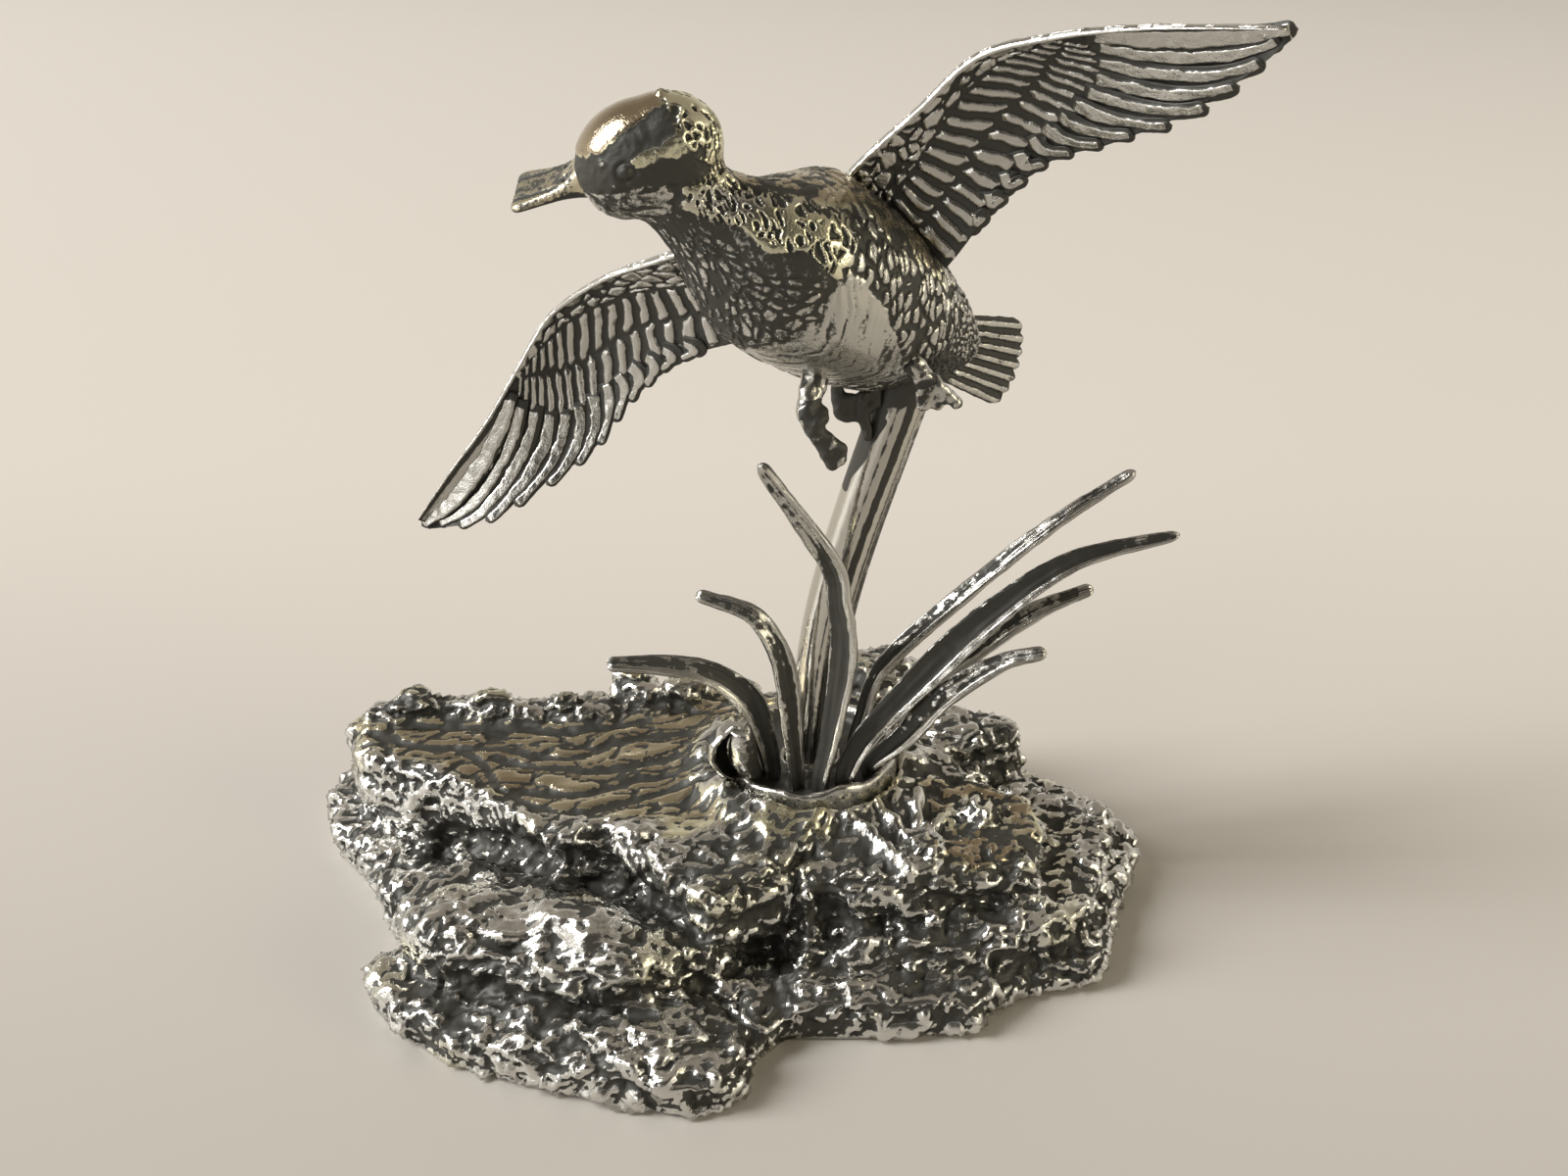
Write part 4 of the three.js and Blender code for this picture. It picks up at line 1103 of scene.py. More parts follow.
def head_marks(points):
    """Polish, lacquer and relief on the head, from points in the head's frame."""
    mirrored = left_half(points)
    x, y, z = mirrored.T
    mottle = rough(mirrored, 0.9, 52, 3)
    fine = noise(mirrored, 0.35, 53)
    crown = smooth(0.2, -0.1, y - np.interp(x, *CROWN_EDGE) + 0.2 * mottle) * smooth(1.4, 2, z)
    width = 0.22 + 0.13 * np.clip(0.4 - x, 0, 5)
    from_stripe = from_path(mirrored, STRIPE) - width
    from_branch = from_path(mirrored, STRIPE_BRANCH) - 0.3
    stripe = smooth(0.2, -0.15, np.minimum(from_stripe, from_branch) + 0.2 * mottle)
    cheek = smooth(0.15, -0.25, z - np.interp(x, *CHEEK_TOP) + 0.15 * mottle)
    dashes = cheek * smooth(0.1, 0.4, noise(mirrored + 0.2 * mottle[:, None], (0.95, 0.6, 0.42), 51))
    nape = smooth(-1.6, -3.6, x) * (1 - stripe)
    polish_and_painted_light = 0.08 + 0.14 * mottle + 0.12 * fine
    polish_and_painted_light = polish_and_painted_light + crown * (0.6 - 0.2 * mottle) + stripe * (0.5 - 0.25 * mottle)
    polish_and_painted_light = polish_and_painted_light + 0.42 * cheek - 0.5 * dashes + nape * (0.1 + 0.34 * mottle)
    rise = 0.1 * crown + 0.1 * stripe - 0.12 * dashes
    rise = rise + (0.07 * mottle + 0.03 * fine) * (1 - crown) * (1 - 0.7 * nape)
    from_eye = np.linalg.norm(mirrored - EYE, axis=1)
    ring = peak(from_eye - 0.62, 0.14)
    rise += 0.3 * smooth(0.6, 0.2, from_eye) - 0.12 * ring
    polish_and_painted_light = np.where(from_eye < 0.45, 0.22, polish_and_painted_light - 0.3 * ring)
    from_nub = np.linalg.norm(points - NUB, axis=1)
    from_lore = np.linalg.norm(mirrored - LORE, axis=1)
    polish_and_painted_light += 0.4 * smooth(0.4, 0.15, from_lore)
    lacquer = np.maximum(0.5 * stripe, np.maximum(crown, nape))
    return polish_and_painted_light, lacquer, rise + 0.5 * smooth(0.7, 0.1, from_nub) + 0.15 * smooth(0.5, 0.1, from_lore)


# Outline of the smooth belly: forward, and degrees from its middle
BELLY_EDGE = ((-8, -6, -4.2, -1, 0.6, 3.1, 4.5, 5.7, 6.6), (0, 5, 12, 32, 39, 42, 49, 51, 42))
# Edges of the dark band under the yellow neck, on the rings of feathers: to its left, and ring
BAND_TOP = ((-1, 1.5, 4, 5, 6.5), (17.2, 16.8, 16.4, 16, 15.9))
BAND_FOOT = ((-1.2, 0.8, 6), (14.7, 15.8, 15.6))


def body_marks(points):
    """Polish with painted shade under the tail, lacquer and relief on the trunk, from points in the duck's
    frame.
    """
    x, y, z = points.T
    sections = np.array(BODY_SECTIONS)
    middle = np.interp(x, sections[:, 0], sections[:, 1])
    angle = np.degrees(np.arctan2(z - middle, y))  # 0 to its left, 90 up, -90 at the belly
    below = np.abs(np.where(angle > 90, angle - 360, angle) + 90)  # degrees from the belly's middle
    wander = noise(points, 2.2, 60)
    fine = noise(points, 0.45, 61)
    ring = x + 1.1 * y - 0.65 * z + 0.45 * wander + 1.3 * smooth(8.5, 5.5, x)
    neck = smooth(-0.3, 0.3, ring - np.interp(y, *BAND_TOP))
    dark_band = smooth(-0.3, 0.2, ring - np.interp(y, *BAND_FOOT)) * (1 - neck) * smooth(105, 85, below)
    breast = smooth(5.8, 7.4, x + 0.8 * wander) * (1 - neck)
    edge = np.interp(x, *BELLY_EDGE)
    belly = smooth(edge + 3, edge - 3, below + 4 * wander) * (1 - breast) * (1 - neck)
    down = np.radians(below) * 6.5 + 0.25 * noise(points, 1.3, 64)
    back = -x + 0.25 * noise(points, 1.3, 65)
    ragged = 0.1 * noise(points, 0.6, 62)
    slanted = inside_cells(0.7 * (back + down), 0.7 * (back - down), (1.45, 0.85), 66)
    blobs = smooth(0.1, 0.3, slanted + ragged)
    lenses = smooth(0.1, 0.32, inside_cells(back + 0.25 * down, down, (0.75, 1.5), 67) + ragged)
    beads = smooth(0.12, 0.34, inside_cells(back, down, (0.7, 0.8), 68) + ragged)
    wisps = np.stack([back + 0.15 * down, down, 0 * x], axis=1) + 0.15 * wander[:, None]
    torn = 0.3 * noise(points, 0.8, 73)
    holes = inside_cells(wisps[:, 0] + torn, wisps[:, 1] - torn, (0.6, 1.2), 69)
    frayed = holes + 0.2 * noise(wisps, (1.1, 1.6, 1), 71) + 0.16 * noise(points, 0.4, 74)
    strokes = smooth(0.2, 0.32, frayed)
    feathers = blend(lenses, beads, smooth(-7, -10, x))
    feathers = blend(blend(feathers, 0.8 * blobs, breast), 1 - strokes, neck)
    hairs = noise(np.stack([back + 0.6 * down, down, 0 * x], axis=1), (0.32, 1.8, 1), 70)
    rise = blend(feathers - 0.6, 0.2 * hairs, belly) * (1 - 0.8 * dark_band) * (1 - 0.4 * breast)
    shine = 0.47 - 0.05 * breast + 0.17 * neck
    polish_and_painted_light = blend(0.05 + shine * feathers + 0.14 * wander + 0.1 * fine, 0.55 + 0.26 * hairs, belly)
    polish_and_painted_light += 0.2 * belly * smooth(15, 35, below) * smooth(-6, 0, x)
    polish_and_painted_light = polish_and_painted_light * (1 - 0.85 * dark_band) + dark_band * (0.22 + 0.2 * hairs)
    browned = smooth(-6, 6, below - np.interp(x, (-3, 2, 6), (78, 80, 92)) + 5 * wander)
    browned = browned * smooth(-6, -3, x) * (1 - smooth(14.5, 16, x))
    spots = smooth(0.15, 0.4, noise(wisps, (1.2, 0.7, 1), 75))
    polish_and_painted_light = blend(polish_and_painted_light, 0.6 + 0.2 * wander + 0.15 * fine - 0.5 * spots, 0.75 * browned)
    rise = rise * (1 - 0.6 * browned)
    # Painted shade under the tail: darker towards the underside of the rump
    polish_and_painted_light = polish_and_painted_light * (1 - 0.85 * smooth(-5, -7, x) * smooth(42, 26, below + 5 * wander))
    yellow = 0.5 * neck * smooth(-0.5, 0.1, noise(points, 3, 72) + 0.4)
    return polish_and_painted_light, np.maximum(yellow, 0.9 * browned), rise


class FIGURINE_OT_body(bpy.types.Operator):
    """Shapes the body and head and cuts their feathers"""

    bl_idname = "figurine.body"
    bl_label = "Body and head"

    def execute(self, context):
        depth = context.scene.figurine_relief.body / MM
        parts = [trunk()]
        for place, size in HEAD_PARTS:
            parts.append(ball(Vector(HEAD_PLACE) + HEAD_IN_DUCK @ Vector(place), size, HEAD_IN_DUCK))
        body = fused("duck_casting", parts, voxel=0.29, softening=10)
        points = coordinates(body)
        in_head = (points - HEAD_PLACE) @ np.array(HEAD_IN_DUCK)
        reach = np.linalg.norm(in_head / (0.5 * np.array(HEAD_SIZE)), axis=1)
        on_head = smooth(1.22, 1.05, reach) * smooth(-4.6, -3.6, in_head[:, 0] - 0.4 * in_head[:, 2])
        polish_and_painted_light, warm, rise = body_marks(points)
        head_polish, head_warm, head_rise = head_marks(in_head)
        shape = blend(depth * rise, head_rise, on_head)
        push_out(body, points, shape)
        polish_and_painted_light = blend(polish_and_painted_light, head_polish, on_head) + raised(body, 14) / 0.5 * (1 - 0.7 * on_head)
        set_polish_and_painted_light(body, polish_and_painted_light, blend(warm, head_warm, on_head))
        body.data.transform(DUCK)
        hand_over(body, body_pewter(), "cast_pewter", "duck_body")
        return {"FINISHED"}


BILL_TURN = (-10, 0, -8)  # its near side is lower and further forward than the head's
NOSTRIL = (5.7, 0.75, 0.2)
# Bill's sections: forward of the head's middle, drop, half width and half height
BILL_SECTIONS = [
    (2.6, 0.3, 1.8, 1.6), (4.2, 0.4, 1.75, 1.4), (5.2, 0.5, 1.65, 1.05), (6.3, 0.6, 1.7, 0.72),
    (7.6, 0.65, 1.9, 0.55), (9, 0.65, 2.15, 0.46), (9.6, 0.65, 2.15, 0.42), (9.95, 0.65, 1.9, 0.3),
]


class FIGURINE_OT_bill(bpy.types.Operator):
    """Draws out the broad bill, with a raised rim and nostrils"""

    bl_idname = "figurine.bill"
    bl_label = "Bill"

    def execute(self, context):
        sections = curve(BILL_SECTIONS, np.linspace(0, 1, 90))
        turn = np.linspace(0, 2 * math.pi, 64, endpoint=False)
        across = squarer(np.cos(turn), 0.7)
        height = np.sin(turn)
        forward, drop, half, tall = sections.T[:, :, None]
        flat = smooth(4.5, 6.5, forward)
        dish = flat * 0.3 * (np.abs(across) ** 3 - 0.45) * (height > 0)
        rings = np.stack(
            [forward + 0 * across, half * across, -drop + tall * height + dish * np.abs(height)], axis=2
        )
        bill = piece_from("duck_bill", *closed_rings(rings))
        points = coordinates(bill)
        nostril = np.linalg.norm(left_half(points) - NOSTRIL, axis=1)
        groove = peak(np.abs(points[:, 1]) - 1.15, 0.14) * smooth(6, 6.8, points[:, 0])
        points = push_out(bill, points, -0.25 * smooth(0.4, 0.15, nostril) - 0.08 * groove)
        # Painted shade: the bill is darker where it faces downwards
        under = smooth(0.1, -0.3, point_normals(bill)[:, 2])
        polish_and_painted_light = 0.44 - 1.1 * smooth(0.42, 0.2, nostril) - 0.4 * groove + raised(bill, 10) / 0.5
        polish_and_painted_light += 0.4 * smooth(5.2, 4.4, points[:, 0]) - 0.5 * under + 0.12 * noise(points, 0.7, 73)
        set_polish_and_painted_light(bill, polish_and_painted_light, 0.8)
        bill.data.transform(turned(BILL_TURN).to_4x4())
        bill.data.transform(Matrix.Translation(Vector(HEAD_PLACE) * MM) @ HEAD_IN_DUCK.to_4x4())
        bill.data.transform(DUCK)
        hand_over(bill, body_pewter(), "cast_pewter", "duck_body")
        return {"FINISHED"}


# Tail fan in its own frame, in which it runs back along -X and spreads to +Y and -Y
TAIL_ROOT = (-12.6, 0, -1.2)
TAIL_TURN = (47, 2, -7)
TAIL_SPREAD = 8.5  # degrees to each side
TAIL_LENGTH = 10.4
TAIL_HALF_ROOT = 2.6
TAIL_FEATHERS = 7


class FIGURINE_OT_tail(bpy.types.Operator):
    """Spreads the ridged feathers of the tail"""

    bl_idname = "figurine.tail"
    bl_label = "Tail"

    def execute(self, context):
        steps, count = 120, 150
        along = np.linspace(0, 1, steps)[:, None]
        across = np.linspace(-1, 1, count)[None]
        feather = (across + 1) / 2 * TAIL_FEATHERS
        share = feather - np.floor(feather)
        tips = 1 - 0.07 * (2 * share - 1) ** 2 - 0.16 * across**2
        angle = np.radians(TAIL_SPREAD) * across
        reach = TAIL_LENGTH * along * tips
        x = reach * np.cos(angle)
        y = reach * np.sin(angle) + TAIL_HALF_ROOT * across
        ridge = smooth(0.04, 0.24, share) * smooth(0.76, 0.5, share)
        bars = ridge * smooth(0.12, 0.3, along) * smooth(1.02, 0.95, along)
        thick = blend(0.5, 0.3, along) * rounded(np.abs(across), 0.05, 8)
        heights = [way * (thick + 0.22 * bars) - 0.25 * across**2 for way in (1, -1)]
        sheets = [np.stack([-x, y, height], axis=2) for height in heights]
        tail = piece_from("tail_fan", *closed_rings(both_faces(*sheets)))
        bar = with_ends(both_faces(bars, bars))
        points = coordinates(tail)
        points = push_out(tail, points, 0.06 * rough(points, 0.7, 71))
        set_polish_and_painted_light(tail, 0.02 + 0.6 * bar + raised(tail, 8) / 0.6 + 0.14 * noise(points, 1.1, 72))
        tail.data.transform(DUCK @ Matrix.Translation(Vector(TAIL_ROOT) * MM) @ turned(TAIL_TURN).to_4x4())
        hand_over(tail, body_pewter(), "cast_pewter", "duck_body")
        return {"FINISHED"}


# Wings: leading and trailing edges from inside the body to the tip, in the duck's frame
WINGS = {
    "left_wing": (
        [(3.3, 4, 4.9), (3.5, 8, 5.4), (3.6, 12.9, 5.7), (3.9, 18.6, 5.9),
         (2.7, 23.6, 4.2), (1.4, 28.3, 1.7), (0.3, 32.5, -1.2), (-0.6, 36.2, -4)],
        [(-5.6, 4, -1.6), (-5.3, 8, -0.8), (-4.8, 12.2, 0.4), (-4.6, 17.5, 0.9),
         (-4.6, 22.6, -1.1), (-4.1, 27.5, -3.2), (-2.9, 32.2, -4.4), (-1.1, 36, -4.6)],
    ),
    "right_wing": (
        [(9.2, -4, 3.4), (9.7, -9, 4.9), (10.2, -14.3, 6.4), (10.4, -20.6, 6.8),
         (10.7, -25.3, 4.3), (11, -30, 1.5), (11.6, -35, -1), (12, -40, -3.6)],
        [(0.8, -4, -1.6), (1.9, -9, -0.6), (3, -14.6, 0.7), (3.2, -20.4, 0.1),
         (3.9, -25.5, -2.6), (6.2, -30.5, -4.3), (8.7, -35.8, -5.6), (11.5, -40, -4.3)],
    ),
}
WING_THICKNESS = 1.1
FEATHER_THICKNESS = 0.55
WING_CAMBER = 0.9

# Where each row of coverts ends along the chord, on feather lines from the root to the tip of the wing
ROW_LINES = (0, 0.2, 0.4, 0.55, 0.8, 1)
ROW_ENDS = (
    (0.36, 0.28, 0.2, 0.14, 0.07, 0),
    (0.62, 0.6, 0.52, 0.44, 0.18, 0.02),
    (0.95, 0.92, 0.79, 0.7, 0.4, 0.07),
)
ROW_FEATHERS = (0, 17, 18)  # on a row that would run the whole span; the first row is irregular flecks

# Flight feathers from the wing's tip to its root: span and chord where each comes out and where it ends
FLIGHT_ROOTS = [
    (0.62, 0.07), (0.615, 0.18), (0.6, 0.31), (0.58, 0.44), (0.555, 0.54), (0.52, 0.61), (0.485, 0.67),
    (0.45, 0.71), (0.42, 0.74), (0.385, 0.77), (0.345, 0.81), (0.3, 0.84), (0.25, 0.87),
]
FLIGHT_TIPS = [
    (1.0, 0.36), (0.96, 0.66), (0.905, 0.82), (0.835, 0.9), (0.765, 0.94), (0.685, 0.955), (0.61, 0.955),
    (0.545, 0.965), (0.485, 0.975), (0.43, 0.975), (0.38, 0.975), (0.33, 0.965), (0.275, 0.96),
]


def feather_line(span, chord):
    """Which line from root to tip of a covert a point lies on, as a share of the wing's feathers."""
    out = np.clip((chord - 0.08) / 0.92, 0, 1)
    start = blend(0.04, 0.07, out)
    spread = blend(0.56, 0.93, out)
    return np.clip((span - start) / spread, 0, 1)


def covert_height(span, chord, seed):
    """Height of the coverts over a wing, from 0 in a gap to 1 on a feather, and of its leading edge."""
    flat = np.stack([span.ravel() * 36, chord.ravel() * 11, 0 * span.ravel()], axis=1)
    wander = noise(flat, 1.8, seed).reshape(span.shape)
    ragged = noise(flat, (0.5, 1.2, 1), seed + 1).reshape(span.shape)
    flecks = inside_cells(flat[:, 0], flat[:, 1], (1.5, 0.95), seed).reshape(span.shape)
    line = feather_line(span + 0.006 * wander, chord)
    height = np.zeros(span.shape)
    row_start = np.full(span.shape, 0.04)
    free = (chord > 0.04) & (line < 0.97)
    for ends, feathers in zip(ROW_ENDS, ROW_FEATHERS):
        share = line * feathers % 1 if feathers else 0.5 + 0 * line
        scallop = 0.04 * (1 - (2 * share - 1) ** 2)
        end = np.interp(line, ROW_LINES, ends) + scallop + 0.015 * wander
        here = free & (chord < end)
        run = np.clip((chord - row_start) / np.maximum(end - row_start, 0.02), 0, 1)
        across = share + 0.08 * ragged + 0.1 * (run - 0.5)
        bar = smooth(0.06, 0.16, across) * smooth(0.7, 0.56, across)
        bar = bar * smooth(0.0, 0.2, run + 0.06 * ragged) * smooth(1.0, 0.88, run + 0.05 * ragged)
        if not feathers:
            bar = smooth(0.06, 0.22, flecks + 0.12 * ragged)
        height = np.where(here, bar, height)
        row_start = np.where(free & (chord >= end), end, row_start)
        free = free & (chord >= end)
    rod = smooth(0.06, 0.03, chord)
    return np.maximum(height, rod), rod


class FIGURINE_OT_wings(bpy.types.Operator):
    """Spreads both wings, with rows of coverts and long flight feathers in relief on both faces"""

    bl_idname = "figurine.wings"
    bl_label = "Wings"

    def execute(self, context):
        depth = context.scene.figurine_relief.wing / MM
        for seed, (node, edges) in enumerate(WINGS.items()):
            wing = feathered_wing(node.replace("_wing", "_wing_casting"), *edges, depth, 80 + 10 * seed)
            wing.data.transform(DUCK)
            hand_over(wing, body_pewter(), "cast_pewter", node)
        return {"FINISHED"}


def wing_sheet(leading, trailing):
    """A function from spans and chords to places on a wing's cambered middle surface, with its normals."""

    def place(span, chord):
        front, back = curve(leading, span), curve(trailing, span)
        outward = sum(curve(edge, span + 0.01) - curve(edge, span - 0.01) for edge in (leading, trailing))
        normal = unit(np.cross(front - back, outward))
        normal *= np.sign(normal[:, 2:3])
        camber = (4 * WING_CAMBER * chord * (1 - chord))[:, None]
        return front + (back - front) * chord[:, None] + normal * camber, normal

    return place


def feathered_wing(name, leading, trailing, depth, seed):
    """A plate with a rounded leading edge and coverts in relief, over a fan of flight feathers."""
    sheet = wing_sheet(leading, trailing)
    plate = wing_plate(name, sheet, depth, seed)
    flight = flight_feathers(name + "_flight", sheet, seed)
    select_only(plate, flight)
    bpy.ops.object.join()
    return plate


PLATE_REACH = 0.97  # share of the chord that the plate covers, under the flight feathers


def wing_plate(name, sheet, depth, seed):
    """The wing's plate, with coverts in relief on both faces."""
    steps, count = 290, 82
    span = np.linspace(0, 0.985, steps)
    spans, chords = np.meshgrid(span, np.linspace(0, 1, count) ** 1.08, indexing="ij")
    chords = chords * PLATE_REACH * blend(1, 0.86, smooth(0.5, 0.95, spans))
    middle, normal = (grid.reshape(steps, count, 3) for grid in sheet(spans.ravel(), chords.ravel()))
    thick = 0.5 * blend(WING_THICKNESS, FEATHER_THICKNESS, smooth(0, 0.35, chords)) * blend(1, 0.5, spans)
    closing = rounded(1 - chords / 0.04, 0)
    ending = rounded((chords - 0.9) / 0.03, 0.1)
    sheets, marks = [], []
    for way in (1, -1):
        height, rod = covert_height(spans, chords, seed + 2 * way)
        beyond = smooth(0.02, 0.1, chords - np.interp(feather_line(spans, chords), ROW_LINES, ROW_ENDS[-1]))
        out = (thick - 0.12 * beyond) * closing * ending + depth * (height - 0.8) * closing * (1 - rod)
        out += 0.14 * rod * closing
        sheets.append(middle + normal * (way * np.maximum(out, 0.06 * closing))[..., None])
        marks.append(height)
    plate = piece_from(name, *closed_rings(both_faces(*sheets)))
    tipward = smooth(0.62, 0.66, spans) * smooth(0.5, 0.4, chords) * smooth(0.08, 0.12, chords)
    bare = with_ends(both_faces(tipward, tipward))
    mark = np.maximum(with_ends(both_faces(*marks), 0.5, 0.5), 0.9 * bare)
    points = coordinates(plate)
    points = push_out(plate, points, 0.03 * rough(points, 0.6, seed + 3))
    set_polish_and_painted_light(plate, 0.1 + 0.72 * mark + raised(plate, 8) / 0.5 + 0.14 * noise(points, 1, seed + 4))
    return plate


def flight_feathers(name, sheet, seed):
    """Overlapping flight feathers with rounded tips, each with a raised vane and sunken edges."""
    stations, half_ring = 84, 22
    run = np.linspace(0, 1, stations)
    paths, normals = [], []
    for root, tip in zip(FLIGHT_ROOTS, FLIGHT_TIPS):
        root, tip = np.array(root), np.array(tip)
        places = root + (tip - root) * run[:, None] + (-0.02, 0.03) * np.sin(math.pi * run)[:, None]
        path, normal = sheet(*places.T)
        paths.append(path)
        normals.append(normal)
    paths, normals = np.array(paths), np.array(normals)
    spread = np.gradient(paths, axis=0)
    across = np.concatenate([np.linspace(-1, 1, half_ring), np.linspace(1, -1, half_ring)])
    way = np.repeat([1, -1], half_ring)
    pieces, marks = [], []
    for number, (path, normal) in enumerate(zip(paths, normals)):
        along = unit(np.gradient(path, axis=0))
        side = unit(np.cross(normal, along))
        half = np.clip(0.72 * np.abs((spread[number] * side).sum(axis=1)), 0.62, 1.7)
        left = np.linalg.norm(path - path[-1], axis=1)
        half = half * rounded(1 - left / half[-1], 0.01)
        shaft, skew = (grid.ravel() for grid in np.meshgrid(left, across, indexing="ij"))
        flat = np.stack([shaft, 1.6 * np.sign(skew) + 7 * number, 0 * skew], axis=1)
        ragged = rough(flat, 1.2, seed + 6, 4).reshape(len(left), -1)
        wide = np.interp(number, (0, 1, 6, 9, 12), (0.6, 0.44, 0.4, 0.36, 0.3))
        vane = smooth(wide + 0.12, wide, np.abs(across[None] + 0.18 + 0.14 * ragged))
        vane = vane * smooth(0.0, 0.5, left[:, None]) * smooth(0.0, 0.08, run[:, None])
        thin = blend(0.9, 0.45, run)[:, None] * rounded(np.abs(across), 0.08, 6)
        lift = way * (0.22 * thin + 0.17 * vane) + 0.13 * across
        rings = path[:, None] + side[:, None] * (half[:, None] * across)[..., None]
        rings = rings + normal[:, None] * lift[..., None]
        pieces.append(closed_rings(rings))
        marks.append(with_ends(vane))
    starts = np.cumsum([0] + [len(points) for points, _ in pieces])
    faces = [[start + i for i in face] for start, (_, found) in zip(starts, pieces) for face in found]
    fan = piece_from(name, np.concatenate([points for points, _ in pieces]), faces)
    points = coordinates(fan)
    points = push_out(fan, points, 0.03 * rough(points, 0.6, seed + 7))
    mark = np.concatenate(marks)
    set_polish_and_painted_light(fan, 0.02 + 0.86 * mark**2.5 + raised(fan, 6) / 3 + 0.14 * noise(points, 0.8, seed + 8))
    turn_outwards(fan, len(pieces))
    return fan


# Legs in the duck's frame: hip inside the belly, knee and ankle with their radii, the tips of the folded
# toes, and how dark the foot is left
LEGS = {
    "right_leg": (
        (-0.4, -3.2, -4.6), [(0.4, -5.1, -8.5, 0.85), (-0.45, -5.35, -9.7, 0.7)],
        [(-2.4, -5.9, -11.9), (-2.8, -5.35, -11.6), (-2.6, -4.9, -11.1)], 0.4,
    ),
    "left_leg": (
        (-5, 1.2, -4.4), [(-5.4, 1.7, -6.4, 0.9), (-5.7, 1.9, -6.9, 0.8)],
        [(-7.1, 0.5, -8.9), (-7.8, 1.4, -9), (-8.8, 2.4, -9.3)], 0.1,
    ),
}
# The right foot's back claw, and the black claws that hang at the left of the rod's top, which also stand
# for the shade under the belly
CLAWS = {
    "right_leg": [(0.2, -4.7, -8.4), (-0.5, -4.2, -8.6), (-0.5, -4.3, -9.2), (0, -4.8, -9.5)],
    "left_leg": [
        (-4.9, -5.3, -4.2), (-5.75, -6.35, -5.35), (-6.2, -6.75, -5.95), (-6.9, -6.4, -6.3),
        (-7.5, -5.5, -6.35), (-8, -4.2, -5.9),
    ],
}
HIP_RADIUS = 1.25
TOE_RADII = (0.66, 0.52)
TOE_TIP = 1.15
WEB_RADII = (0.55, 0.3)
CLAW_RADIUS = 0.5
CLAW_SHADE_DROP = 1.7
CLAW_SPUR = [(-7.5, -5.5, -6.35), (-8.2, -5.8, -7), (-8.6, -6.3, -7.6)]


class FIGURINE_OT_legs(bpy.types.Operator):
    """Builds the legs and their folded webbed feet"""

    bl_idname = "figurine.legs"
    bl_label = "Legs"

    def execute(self, context):
        up = DUCK.to_3x3().inverted() @ Vector((0, 0, 1))
        for node, (hip, joints, toes, darkness) in LEGS.items():
            (*knee, knee_radius), (*ankle, ankle_radius) = joints
            parts = [
                taper(hip, knee, HIP_RADIUS, knee_radius),
                ball(knee, [2 * knee_radius] * 3),
                taper(knee, ankle, knee_radius, ankle_radius),
                ball(ankle, [2 * ankle_radius] * 3),
            ]
            for toe in toes:
                parts.append(taper(ankle, toe, *TOE_RADII))
                parts.append(ball(toe, [TOE_TIP] * 3))
            for one, other in zip(toes, toes[1:]):
                parts.append(taper(ankle, (Vector(one) + Vector(other)) / 2, *WEB_RADII))
            claws = [CLAWS[node]]
            if node == "left_leg":
                # The far claws reach up into the belly in one black mass, a dark thing that stands for the
                # shade there
                claws += [CLAW_SPUR, *((claw, Vector(claw) + CLAW_SHADE_DROP * up) for claw in CLAWS[node][1:])]
            for claw in claws:
                for start, end in zip(claw, claw[1:]):
                    parts.append(taper(start, end, CLAW_RADIUS, CLAW_RADIUS))
                    parts.append(ball(end, [2 * CLAW_RADIUS] * 3))
            leg = fused(node + "_casting", parts, voxel=0.17, softening=8)
            points = coordinates(leg)
            flecks = noise(points, (0.5, 0.9, 0.5), 91)
            points = push_out(leg, points, 0.1 * flecks)
            down = smooth(0.6, 2.2, np.linalg.norm(points - knee, axis=1)) * (points[:, 2] < knee[2])
            claw = smooth(1, 0.7, from_path(points, CLAWS[node]))
            if node == "left_leg":
                # Painted shade: all of the left leg on the duck's right side, the claws and their mass, is
                # left dark
                claw = np.maximum(claw, points[:, 1] < -1)
            dashes = smooth(0.15, 0.4, noise(points, (0.5, 0.5, 1.3), 92)) * (1 - down)
            polish_and_painted_light = 0.58 - darkness * down - 0.7 * claw + 0.4 * flecks * down - 0.4 * dashes
            set_polish_and_painted_light(leg, polish_and_painted_light + raised(leg, 10) / 0.6)
            leg.data.transform(DUCK)
            hand_over(leg, body_pewter(), "cast_pewter", node)
        return {"FINISHED"}


# Stage

CAMERA_PLACE = (4.82, -105.5, 88.83)
CAMERA_PITCH = 28  # degrees down
CAMERA_LENS = 31.5
CAMERA_SENSOR = 36
FLOOR_GAP = 0.02  # keeps the floor from flickering through the base's underside
NEAR_SHADE = 0.62  # painted shade of the table nearest the viewer, as a share of its tone
CLOUD_SIZE = 90  # of the patches where the table shines a little less
WALL = "#E8E2D7"
OVERHEAD = "#9A9185"
BEHIND_VIEWER = "#45413C"
TOWARDS_VIEWER = (0.06, -0.8, 0.597)
# Lamps: place, what they face, width and height, watts and colour
LAMPS = {
    "window": ((-2770, -360, 2230), (0, 0, 35), (1150, 2300), 150, "#FFFFFF"),
    "low_panel": ((-2170, -2520, 1085), (0, 0, 20), (900, 700), 9, "#FFFFFF"),
    "warm_panel": ((900, -330, 390), (0, 0, 40), (480, 360), 2.2, "#F2E8C4"),
}


def lamp(name, place, target, size, watts, code):
    """A soft panel that faces a target."""
    data = bpy.data.lights.new(name, "AREA")
    data.shape = "RECTANGLE"
    data.size, data.size_y = (side * MM for side in size)
    data.energy = watts
    data.color = linear(code)
    made = bpy.data.objects.new(name, data)
    place, target = Vector(place) * MM, Vector(target) * MM
    made.location = place
    made.rotation_euler = (target - place).to_track_quat("-Z", "Y").to_euler()
    bpy.context.scene.collection.objects.link(made)


